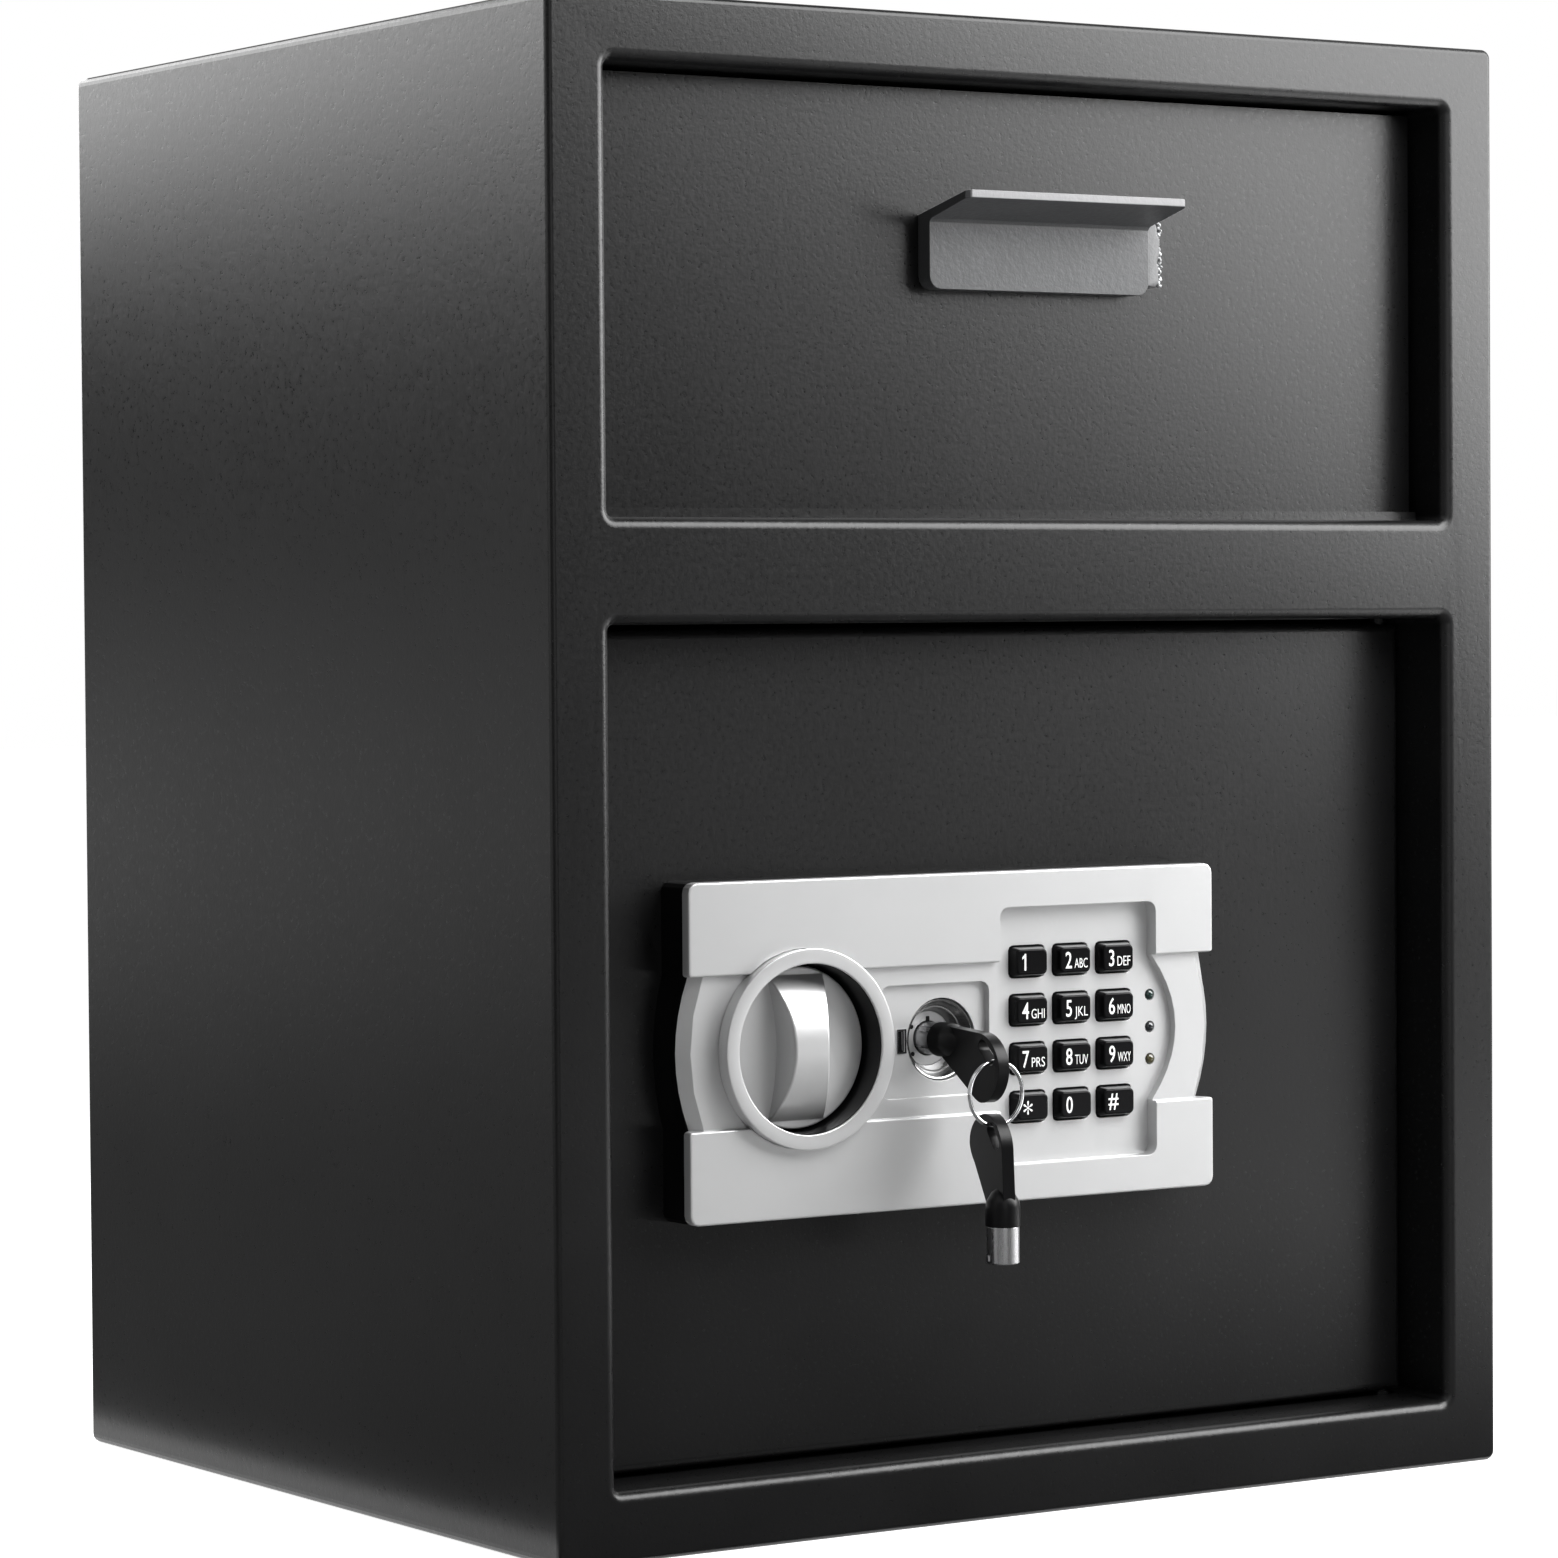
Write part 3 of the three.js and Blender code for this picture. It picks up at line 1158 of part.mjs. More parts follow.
// A round neck that runs out into a flat paddle, fuller on one side.
function bowOutline() {
  const start = KEY_TUBE_LENGTH + 3;
  const end = KEY_TUBE_LENGTH + KEY_BOW_LENGTH;
  const bulge = -KEY_BOW_BULGE;
  const edge = KEY_NECK / 2 - 0.6;
  const crown = bulge / 2 + 1.7;
  const shoulder = end - KEY_BOW_SHOULDER;
  const waist = end - KEY_BOW_WAIST;
  const outline = new THREE.Shape();
  outline.moveTo(edge, start);
  outline.lineTo(edge - 1.3, shoulder - 0.5);
  outline.bezierCurveTo(edge - 1.6, end - 5.3, crown + 5.5, end, crown, end);
  outline.bezierCurveTo(crown - 5, end, bulge - 0.2, shoulder + 5, bulge, shoulder);
  outline.bezierCurveTo(bulge + 0.2, shoulder - 2.5, bulge + 1.9, waist + 1.2, bulge + 2.9, waist);
  outline.lineTo(-edge, start);
  outline.closePath();
  return outline;
}

function keyBow(place) {
  const start = KEY_TUBE_LENGTH;
  const half = KEY_NECK / 2;
  const neck = turned([
    [0, start],
    [half, start],
    [half, start + KEY_NECK_LENGTH],
    [half / 2, start + KEY_NECK_LENGTH + 4],
    [0, start + KEY_NECK_LENGTH + 4],
  ], 0, 0, 20);
  const flat = { depth: KEY_BOW_THICKNESS, bevelEnabled: false, curveSegments: 6 };
  const paddle = new THREE.ExtrudeGeometry(bowOutline(), flat);
  paddle.translate(0, 0, -KEY_BOW_THICKNESS / 2);
  const [near, far] = bowSlot();
  const slot = new THREE.Shape();
  const lean = Math.atan2(far.a - near.a, far.b - near.b);
  slot.absarc(far.b, far.a, KEY_SLOT / 2, lean - Math.PI / 2, lean + Math.PI / 2);
  slot.absarc(near.b, near.a, KEY_SLOT / 2, lean + Math.PI / 2, lean + 1.5 * Math.PI);
  slot.closePath();
  const slotTool = new THREE.ExtrudeGeometry(slot, {
    depth: 3 * KEY_BOW_THICKNESS, bevelEnabled: false, curveSegments: 6,
  });
  slotTool.translate(0, 0, -1.5 * KEY_BOW_THICKNESS);
  const bore = turned([
    [0, start - 1],
    [KEY_STEM / 2 + FIT, start - 1],
    [KEY_STEM / 2 + FIT, start + KEY_NECK_LENGTH],
    [0, start + KEY_NECK_LENGTH],
  ], 0, 0, 20);
  return cut(join(neck, toSolid(paddle)), toSolid(slotTool), bore).transform(place);
}

const INSERTED_TIP = CYLINDER_FACE_Y + KEY_INSERTED;
const WIRE_DROP = KEY_SLOT / 2 - RING_WIRE / 2 - RUNNING_FIT;
const RING_RADIUS = (RING_DIAMETER - RING_WIRE) / 2;
const RING_Y = INSERTED_TIP - bowSlot()[1].a;
const RING_Z = LOCK_Z + bowSlot()[1].b - WIRE_DROP - RING_RADIUS;

// A key's local axes are b, a and the paddle's thickness.
function placement(b, a, at) {
  const matrix = new THREE.Matrix4().makeBasis(b, a, new THREE.Vector3().crossVectors(b, a));
  matrix.setPosition(at);
  return matrix.elements;
}

function insertedKeyPlace() {
  const up = new THREE.Vector3(0, 0, 1);
  const outward = new THREE.Vector3(0, -1, 0);
  return placement(up, outward, new THREE.Vector3(CYLINDER_X, INSERTED_TIP, LOCK_Z));
}

// The spare key hangs by its slot from the bottom of the ring.
function spareKeyPlace() {
  const turn = THREE.MathUtils.degToRad(SPARE_KEY_TURN);
  const across = new THREE.Vector3(-Math.sin(turn), -Math.cos(turn), 0);
  const up = new THREE.Vector3(0, 0, 1);
  const hang = bowSlot()[1];
  const tip = new THREE.Vector3(CYLINDER_X, RING_Y, RING_Z - RING_RADIUS)
    .addScaledVector(across, -hang.b)
    .addScaledVector(up, -(hang.a + WIRE_DROP));
  return placement(across, up, tip);
}

function keyRing() {
  const ring = new THREE.TorusGeometry(RING_RADIUS, RING_WIRE / 2, 6, 24);
  ring.rotateX(Math.PI / 2);
  ring.translate(CYLINDER_X, RING_Y, RING_Z);
  return toSolid(ring);
}

// Mechanism behind the door

function boltSpots() {
  return [LOCK_Z + BOLT_PITCH / 2, LOCK_Z - BOLT_PITCH / 2];
}

function boltGuide() {
  const top = BOLT_Y + BOLT / 2 + GUIDE_BEHIND_BOLT;
  const z0 = LOCK_Z - BOLT_PITCH / 2 - GUIDE_MARGIN;
  const z1 = LOCK_Z + BOLT_PITCH / 2 + GUIDE_MARGIN;
  const upright = block(GUIDE_X, GUIDE_X + GUIDE_SHEET, DOOR_BACK, top, z0, z1);
  const foot = block(GUIDE_X, GUIDE_X + GUIDE_FOOT / 2, DOOR_BACK, DOOR_BACK + GUIDE_SHEET, z0, z1);
  const holes = boltSpots().map((z) =>
    rodX(BOLT_Y, z, BOLT / 2 + FIT, GUIDE_X - 1, GUIDE_X + GUIDE_FOOT));
  return cut(join(upright, foot), ...holes);
}

function lockBolt(z) {
  const bolt = new THREE.LatheGeometry([
    new THREE.Vector2(0, 0),
    new THREE.Vector2(BOLT / 2 - BOLT_NOSE, 0),
    new THREE.Vector2(BOLT / 2, BOLT_NOSE),
    new THREE.Vector2(BOLT / 2, BOLT_LENGTH),
    new THREE.Vector2(0, BOLT_LENGTH),
  ], 24);
  bolt.rotateZ(-Math.PI / 2);
  bolt.translate(BOLT_TIP_X, BOLT_Y, z);
  return toSolid(bolt);
}

// Plate that ties the bolts together, with a slot for the cam's pin and two
// notches for the plunger, one at each end of its travel.
function boltCarriage() {
  const margin = BOLT / 2 + CARRIAGE_MARGIN;
  const flange = block(BOLT_END_X, BOLT_END_X + CARRIAGE_SHEET, DOOR_BACK + 1, WEB_BACK,
    LOCK_Z - BOLT_PITCH / 2 - margin, LOCK_Z + BOLT_PITCH / 2 + margin);
  const web = block(BOLT_END_X + CARRIAGE_SHEET / 2, WEB_X1, WEB_FRONT, WEB_BACK, WEB_Z0, WEB_Z1);
  const start = THREE.MathUtils.degToRad(CAM_TURN / 2);
  const slotX = KNOB_X + CAM_THROW * Math.sin(start);
  const slotHalf = CAM_PIN / 2 + 2 * RUNNING_FIT;
  const slot = block(slotX - slotHalf, slotX + slotHalf, WEB_FRONT - 1, WEB_BACK + 1,
    LOCK_Z + CAM_THROW * Math.cos(start) - slotHalf, LOCK_Z + CAM_THROW + slotHalf);
  const notches = [0, boltTravel()].map((shift) => block(
    PLUNGER_X + shift - PLUNGER / 2 - RUNNING_FIT, PLUNGER_X + shift + PLUNGER / 2 + RUNNING_FIT,
    WEB_FRONT - 1, WEB_BACK + 1, SOLENOID_Z0 - 2 - PLUNGER_TRAVEL - 2 * RUNNING_FIT, WEB_Z1 + 1));
  return cut(join(flange, web), slot, ...notches);
}

function boltTravel() {
  return 2 * CAM_THROW * Math.sin(THREE.MathUtils.degToRad(CAM_TURN / 2));
}

function solenoid() {
  const frame = block(PLUNGER_X - SOLENOID_WIDTH / 2, PLUNGER_X + SOLENOID_WIDTH / 2,
    DOOR_BACK, PLUNGER_Y + PLUNGER + 4, SOLENOID_Z0, SOLENOID_Z0 + SOLENOID_HEIGHT);
  const bore = rodZ(PLUNGER_X, PLUNGER_Y, PLUNGER / 2 + FIT, SOLENOID_Z0 - 1,
    SOLENOID_Z0 + SOLENOID_HEIGHT - 4, 16);
  return cut(frame, bore);
}

function solenoidPlunger() {
  const tip = SOLENOID_Z0 - 2;
  return rodZ(PLUNGER_X, PLUNGER_Y, PLUNGER / 2, tip, SOLENOID_Z0 + SOLENOID_HEIGHT - 5, 16);
}

const BATTERY_BOX = {
  x0: COVER_X1 - COVER_SHEET - 4 - BATTERY_WIDTH - 2 * BATTERY_WALL - 2 * FIT,
  x1: COVER_X1 - COVER_SHEET - 4,
  z0: LOCK_Z - BATTERY_HEIGHT / 2 - BATTERY_WALL - 2 * FIT,
  z1: LOCK_Z + BATTERY_HEIGHT / 2 + BATTERY_WALL + 2 * FIT,
};
const BATTERY_FLOOR = COVER_BACK - BATTERY_DEPTH - 3;

function batteryBox() {
  const outer = block(BATTERY_BOX.x0, BATTERY_BOX.x1, DOOR_BACK, COVER_BACK - COVER_SHEET - FIT,
    BATTERY_BOX.z0, BATTERY_BOX.z1);
  const room = inset(BATTERY_BOX, BATTERY_WALL);
  return cut(
    outer,
    block(room.x0, room.x1, BATTERY_FLOOR, COVER_BACK + 1, room.z0, room.z1),
    block(room.x0, room.x1, DOOR_BACK - 1, BATTERY_FLOOR - BATTERY_WALL, room.z0, room.z1),
  );
}

// Block battery with its two snap terminals on top.
function battery() {
  const x0 = BATTERY_BOX.x0 + BATTERY_WALL + FIT;
  const z0 = BATTERY_BOX.z0 + BATTERY_WALL + FIT;
  const snap = 2.6;
  const y = BATTERY_FLOOR + FIT + BATTERY_DEPTH / 2;
  const can = block(x0, x0 + BATTERY_WIDTH, BATTERY_FLOOR + FIT, BATTERY_FLOOR + FIT + BATTERY_DEPTH,
    z0, z0 + BATTERY_HEIGHT - snap);
  const snaps = [-1, 1].map((side) => rodZ(x0 + BATTERY_WIDTH / 2 + side * 6.3, y, 3 + side * 0.6,
    z0 + BATTERY_HEIGHT - snap - 0.5, z0 + BATTERY_HEIGHT, 12));
  return join(can, ...snaps);
}

const LID = inset(BATTERY_BOX, 1);
const LID_HINGE = { y: COVER_BACK + FIT + LID_SHEET / 2, z: LID.z0 - 3 };
const LID_PIN = 1.2;
const LUG_WIDTH = 3;
const LUG_REACH = 2.4;

// Lid over the battery, hinged on a pin between two lugs at its foot.
function batteryLid() {
  const front = COVER_BACK + FIT;
  const rear = front + LID_SHEET;
  const middle = (LID.x0 + LID.x1) / 2;
  const tab = 6;
  const plate = block(LID.x0 - 2, LID.x1 + 2, front, rear, LID.z0 + 0.5, LID.z1 + 2);
  const pull = block(middle - tab, middle + tab, front + FIT, rear + 1.5, LID.z1 - 4, LID.z1);
  const pin = rodX(LID_HINGE.y, LID_HINGE.z, LID_PIN, LID.x0 + LUG_WIDTH, LID.x1 - LUG_WIDTH, 12);
  const web = block(LID.x0 + 2 * LUG_WIDTH, LID.x1 - 2 * LUG_WIDTH, front + FIT, rear - FIT,
    LID_HINGE.z, LID.z0 + 1.5);
  return join(plate, pull, pin, web);
}

function coverScrewSpots() {
  const from = 8;
  const z0 = LOCK_Z - COVER_HEIGHT / 2 - from / 2;
  const z1 = LOCK_Z + COVER_HEIGHT / 2 + from / 2;
  const xs = [COVER_X0 + 3 * from, COVER_X1 - 3 * from];
  return xs.flatMap((x) => [[x, z0], [x, z1]]);
}

const BUTTON_SPOT = { x: COVER_X0 + BUTTON_FROM_LEFT, z: LOCK_Z - COVER_HEIGHT / 2 + BUTTON_ABOVE_FOOT };

// Pan over the mechanism, with flanges screwed to the door.
function lockCover() {
  const z0 = LOCK_Z - COVER_HEIGHT / 2;
  const z1 = LOCK_Z + COVER_HEIGHT / 2;
  const flange = 8;
  const outer = join(
    block(COVER_X0, COVER_X1, DOOR_BACK, COVER_BACK, z0, z1),
    block(COVER_X0, COVER_X1, DOOR_BACK, DOOR_BACK + COVER_SHEET, z0 - flange, z1 + flange),
  );
  const room = block(COVER_X0 + COVER_SHEET, COVER_X1 - COVER_SHEET, DOOR_BACK - 1, COVER_BACK - COVER_SHEET,
    z0 + COVER_SHEET, z1 - COVER_SHEET);
  const boltHoles = boltSpots().map((z) => rodX(BOLT_Y, z, BOLT / 2 + 1, COVER_X0 - 1, COVER_X0 + COVER_SHEET + 1));
  const window = inset(LID, 1);
  const screwHoles = coverScrewSpots().map(([x, z]) =>
    rodY(x, z, 2 + FIT, DOOR_BACK - 1, DOOR_BACK + COVER_SHEET + 1, 12));
  const lug = (x) => cut(
    block(x - LUG_WIDTH / 2, x + LUG_WIDTH / 2, COVER_BACK - COVER_SHEET / 2, LID_HINGE.y + LUG_REACH,
      LID_HINGE.z - LUG_REACH, LID_HINGE.z + LUG_REACH),
    rodX(LID_HINGE.y, LID_HINGE.z, LID_PIN + FIT, x - LUG_WIDTH, x + LUG_WIDTH, 12),
  );
  return join(
    cut(
      outer,
      room,
      ...boltHoles,
      ...screwHoles,
      block(window.x0, window.x1, COVER_BACK - COVER_SHEET - 1, COVER_BACK + 1, window.z0, window.z1),
      rodY(BUTTON_SPOT.x, BUTTON_SPOT.z, BUTTON / 2 + FIT, COVER_BACK - COVER_SHEET - 1, COVER_BACK + 1, 20),
    ),
    lug(LID.x0 + 1.2 * LUG_WIDTH),
    lug(LID.x1 - 1.2 * LUG_WIDTH),
  );
}

function coverScrew([x, z]) {
  const headHeight = 2.2;
  return join(
    rodY(x, z, 2, DOOR_BACK, DOOR_BACK + COVER_SHEET + 1, 12),
    rodY(x, z, 3.6, DOOR_BACK + COVER_SHEET, DOOR_BACK + COVER_SHEET + headHeight, 16),
  );
}

function resetButton() {
  const flangeBack = COVER_BACK - COVER_SHEET - FIT - BUTTON_TRAVEL;
  return join(
    rodY(BUTTON_SPOT.x, BUTTON_SPOT.z, BUTTON / 2, flangeBack - 3, COVER_BACK + BUTTON_PROUD, 20),
    rodY(BUTTON_SPOT.x, BUTTON_SPOT.z, BUTTON / 2 + 1.5, COVER_BACK - COVER_SHEET - FIT - 1,
      COVER_BACK - COVER_SHEET - FIT, 20),
  );
}

// The safe

function buildSafe() {
  const safe = new THREE.Group();

  const body = new THREE.Group();
  add(body, 'body_shell', bodyShell(), BLACK_POWDER);
  add(body, 'front_frame', frontFrame(), BLACK_POWDER);
  add(body, 'back_panel', backPanel(), BLACK_POWDER);
  add(body, 'floor_mat', floorMat(), FELT);
  add(body, 'chute_baffle', chuteBaffle(), BLACK_POWDER);
  add(body, 'divider_shelf', dividerShelf(), BLACK_POWDER);
  add(body, 'hopper_hinge_pin_left', hopperHingePin(-1), ZINC);
  add(body, 'hopper_hinge_pin_right', hopperHingePin(1), ZINC);
  add(body, 'door_hinge_pin_top', doorHingePin(DOOR_EDGES.z1, 1), ZINC);
  add(body, 'door_hinge_pin_bottom', doorHingePin(DOOR_EDGES.z0, -1), ZINC);
  safe.add(body);

  const hopper = new THREE.Group();
  add(hopper, 'hopper_door', hopperDoor(), DOOR_POWDER);
  add(hopper, 'hopper_handle', hopperHandle(), HANDLE_POWDER);
  add(hopper, 'handle_weld_bead', handleWeldBead(), WELD_PAINT);
  add(hopper, 'hopper_cheek_left', hopperCheek(-1), DOOR_POWDER);
  add(hopper, 'hopper_cheek_right', hopperCheek(1), DOOR_POWDER);
  add(hopper, 'hopper_tray', hopperTray(), DOOR_POWDER);
  safe.add(hopper);

  const door = new THREE.Group();
  add(door, 'door_panel', doorPanel(), DOOR_POWDER);
  add(door, 'lock_base', lockBase(), BLACK_PLASTIC);
  add(door, 'lock_fascia', lockFascia(), SILVER_PLASTIC);
  add(door, 'knob_bezel', knobBezel(), SILVER_PLASTIC);
  add(door, 'keypad_mat', keypadMat(), RUBBER);
  add(door, 'circuit_board', circuitBoard(), BOARD_GREEN);
  add(door, 'status_lights', statusLights(), LENS_GREEN);
  add(door, 'cylinder_body', cylinderBody(), CHROME);
  add(door, 'bolt_guide', boltGuide(), STEEL);
  add(door, 'solenoid', solenoid(), ZINC);
  add(door, 'lock_cover', lockCover(), BLACK_POWDER);
  coverScrewSpots().forEach((spot, i) => add(door, `cover_screw_${i + 1}`, coverScrew(spot), ZINC));
  add(door, 'battery_box', batteryBox(), BLACK_PLASTIC);
  add(door, 'battery', battery(), CELL_JACKET);

  add(door, 'knob', knob(), SILVER_PLASTIC);
  add(door, 'knob_spindle', knobSpindle(), STEEL);
  add(door, 'bolt_cam', boltCam(), ZINC);
  add(door, 'bolt_carriage', boltCarriage(), STEEL);
  add(door, 'lock_bolt_upper', lockBolt(boltSpots()[0]), STEEL);
  add(door, 'lock_bolt_lower', lockBolt(boltSpots()[1]), STEEL);
  add(door, 'solenoid_plunger', solenoidPlunger(), STEEL);
  add(door, 'battery_lid', batteryLid(), BLACK_PLASTIC);
  add(door, 'reset_button', resetButton(), BUTTON_RED);
  eachKey().forEach((key) => add(door, `keypad_${key.name}`, keypadKey(key), KEY_PLASTIC));
  safe.add(door);

  const keys = new THREE.Group();
  add(keys, 'cylinder_plug', cylinderPlug(), ZINC);
  add(keys, 'key_tube', keyTube(insertedKeyPlace()), STEEL);
  add(keys, 'key_bow', keyBow(insertedKeyPlace()), BLACK_PLASTIC);
  add(keys, 'key_ring', keyRing(), CHROME);
  add(keys, 'spare_key_tube', keyTube(spareKeyPlace()), STEEL);
  add(keys, 'spare_key_bow', keyBow(spareKeyPlace()), BLACK_PLASTIC);
  safe.add(keys);

  return safe;
}

export default buildSafe();
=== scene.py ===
"""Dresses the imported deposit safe: fine surfaces over its front, lock and keys, and its finishes."""

import json
import math

import bmesh
import bpy
from bpy.props import FloatProperty, FloatVectorProperty, IntProperty, PointerProperty
from mathutils import Matrix, Vector
from mathutils.geometry import tessellate_polygon


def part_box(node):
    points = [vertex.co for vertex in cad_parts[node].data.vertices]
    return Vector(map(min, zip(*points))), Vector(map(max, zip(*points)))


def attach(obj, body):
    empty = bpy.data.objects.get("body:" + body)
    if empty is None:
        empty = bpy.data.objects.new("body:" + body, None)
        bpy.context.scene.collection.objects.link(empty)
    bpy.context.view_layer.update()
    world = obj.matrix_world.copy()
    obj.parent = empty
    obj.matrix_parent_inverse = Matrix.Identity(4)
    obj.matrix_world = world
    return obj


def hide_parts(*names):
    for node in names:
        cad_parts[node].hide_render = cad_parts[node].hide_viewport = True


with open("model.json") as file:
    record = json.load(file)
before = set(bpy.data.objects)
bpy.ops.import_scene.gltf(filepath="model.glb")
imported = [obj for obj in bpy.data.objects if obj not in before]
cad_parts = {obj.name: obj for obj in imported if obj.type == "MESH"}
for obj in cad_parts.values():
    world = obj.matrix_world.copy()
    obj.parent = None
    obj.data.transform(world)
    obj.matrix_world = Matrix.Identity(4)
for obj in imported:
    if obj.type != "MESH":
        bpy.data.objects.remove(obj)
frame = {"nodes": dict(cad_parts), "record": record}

bl_info = {
    "name": "Deposit Safe Dresser",
    "version": (1, 0, 0),
    "blender": (4, 5, 0),
    "location": "View3D > Sidebar > Deposit Safe",
    "description": "Fine surfaces and finishes for a front-loading deposit safe",
    "category": "Object",
}

MM = 0.001

# Places on the safe, in millimetres, in the safe's own frame
HALF_WIDTH = 175.0
HEIGHT = 450.0
FRONT = -150.0
PLATE_BACK = -148.0
DOOR_OPENING = (-155.0, 155.0, 20.5, 269.5)
HOPPER_OPENING = (-155.0, 155.0, 300.5, 430.5)
OPENING_CORNER = 2.0
DOOR_JAMB_END = -122.0
HOPPER_JAMB_END = -124.0
HOPPER_FACE = -134.0
DOOR_FACE = -129.0
DOOR_PLATE = 6.0
DOOR_GAP = 1.4
HANDLE = (-36.5, 45.5, 369.1, 390.1)
HANDLE_TIP = -160.0
LOCK_X = -30.0
LOCK_Z = 144.5
LOCK_HALF = 96.0
BAND_HALF = 22.5
ARCH_BULGE = 4.5
BAND_FACE = -141.8
FASCIA_BACK = -140.5
KNOB_X = -85.5
KNOB_FACE = -138.3
BEZEL_FACE = -147.3
CYLINDER_X = -34.0
CYLINDER_FACE = -132.9
CYLINDER_PANEL_FACE = -139.8
WINDOW = (-49.7, -47.3, 141.4, 147.7)
KEYPAD_X = 14.5
KEYPAD_FLOOR = -139.3
KEY_FACE = KEYPAD_FLOOR - 3.1
KEY_PITCH_X = 16.3
KEY_PITCH_Z = 14.7
LENS_X = 44.9
LENS_PITCH = 9.9
KEY_TIP = -128.4
RING_CENTRE = (-34.0, -167.9, 130.1)
RING_RADIUS = 9.55
SPARE_TIP = (-34.555, -171.86, 80.2)
SPARE_TURN = 8.0
KEY_LENGTH = 43.8

# How close a point has to lie to a place to count as on it, in millimetres
NEAR = 0.05

# How much paler a scuff is, and how wide the border of two colours is in metres
SCUFF_TINT = 2.2
COLOUR_BORDER = 0.0002

# Half the floor's side, in metres, and the paints of the stage
FLOOR_HALF = 9.0
BLACK = (0.0, 0.0, 0.0, 1.0)
WHITE = (1.0, 1.0, 1.0, 1.0)

# The photograph's viewpoint
CAMERA_PLACE = (-965.9, -1467.7, 271.9)
CAMERA_TURN = (33.364, 1.729, -0.4097)
LENS = 125.13
SENSOR = 36.0


class SafeSizes(bpy.types.PropertyGroup):
    """Sizes of the fine surfaces."""

    lip_round: FloatProperty(
        name="Recess Lip", description="Rounding of the pressed recesses' front lips",
        default=3.6 * MM, subtype="DISTANCE", unit="LENGTH")
    edge_round: FloatProperty(
        name="Front Edge", description="Rounding of the front frame's outer edge",
        default=1.8 * MM, subtype="DISTANCE", unit="LENGTH")
    fascia_round: FloatProperty(
        name="Fascia Edge", description="Rounding of the lock fascia's edges",
        default=0.7 * MM, subtype="DISTANCE", unit="LENGTH")
    handle_round: FloatProperty(
        name="Handle Edge", description="Rounding of the pull handle's edges",
        default=0.22 * MM, subtype="DISTANCE", unit="LENGTH")
    legend_height: FloatProperty(
        name="Digit Height", description="Height of the digits on the keys",
        default=5.0 * MM, subtype="DISTANCE", unit="LENGTH")
    ring_wire: FloatProperty(
        name="Ring Wire", description="Diameter of the key ring's wire",
        default=1.3 * MM, subtype="DISTANCE", unit="LENGTH")
    weld_lumps: IntProperty(
        name="Weld Lumps", description="Number of lumps in the handle's weld bead", default=26)
    arc_steps: IntProperty(
        name="Arc Steps", description="Steps in each rounded edge", default=6)


class SafeColours(bpy.types.PropertyGroup):
    """Colours of the finishes."""

    powder: FloatVectorProperty(
        name="Powder Coat", description="Textured black powder coat", size=3, subtype="COLOR",
        default=(0.005, 0.005, 0.0052))
    handle: FloatVectorProperty(
        name="Handle Coat", description="Thin coat on the pull handle", size=3, subtype="COLOR",
        default=(0.052, 0.053, 0.055))
    silver: FloatVectorProperty(
        name="Silver Paint", description="Silver paint on the lock's front", size=3, subtype="COLOR",
        default=(0.565, 0.567, 0.57))
    plastic: FloatVectorProperty(
        name="Black Plastic", description="Moulded black plastic", size=3, subtype="COLOR",
        default=(0.003, 0.003, 0.0033))


# Node groups shared by the finishes


def new_group(name, inputs, outputs):
    group = bpy.data.node_groups.new(name, "ShaderNodeTree")
    for label, kind, value in inputs:
        socket = group.interface.new_socket(label, in_out="INPUT", socket_type=kind)
        socket.default_value = value
    for label, kind in outputs:
        group.interface.new_socket(label, in_out="OUTPUT", socket_type=kind)
    ends = group.nodes.new("NodeGroupInput"), group.nodes.new("NodeGroupOutput")
    return group, ends[0].outputs, ends[1].inputs


def set_inputs(node, **values):
    """Sets a node's inputs by name, with underscores for the spaces."""
    for name, value in values.items():
        node.inputs[name.replace("_", " ")].default_value = value


def noise(tree, vector, scale, detail=2.0, roughness=0.5):
    node = tree.nodes.new("ShaderNodeTexNoise")
    set_inputs(node, Detail=detail, Roughness=roughness)
    if isinstance(scale, float):
        node.inputs["Scale"].default_value = scale
    else:
        tree.links.new(scale, node.inputs["Scale"])
    tree.links.new(vector, node.inputs["Vector"])
    return node.outputs["Fac"]


def maths(tree, operation, first, second):
    node = tree.nodes.new("ShaderNodeMath")
    node.operation = operation
    for socket, value in zip(node.inputs, (first, second)):
        if isinstance(value, float):
            socket.default_value = value
        else:
            tree.links.new(value, socket)
    return node.outputs[0]


def spread(tree, value, low, high, to_low, to_high):
    node = tree.nodes.new("ShaderNodeMapRange")
    set_inputs(node, From_Min=low, From_Max=high, To_Min=to_low, To_Max=to_high)
    tree.links.new(value, node.inputs["Value"])
    return node.outputs["Result"]


def object_place(tree):
    return tree.nodes.new("ShaderNodeTexCoord").outputs["Object"]


def object_axis(tree, axis):
    """One coordinate of the place on the object."""
    split = tree.nodes.new("ShaderNodeSeparateXYZ")
    tree.links.new(object_place(tree), split.inputs[0])
    return split.outputs[axis]


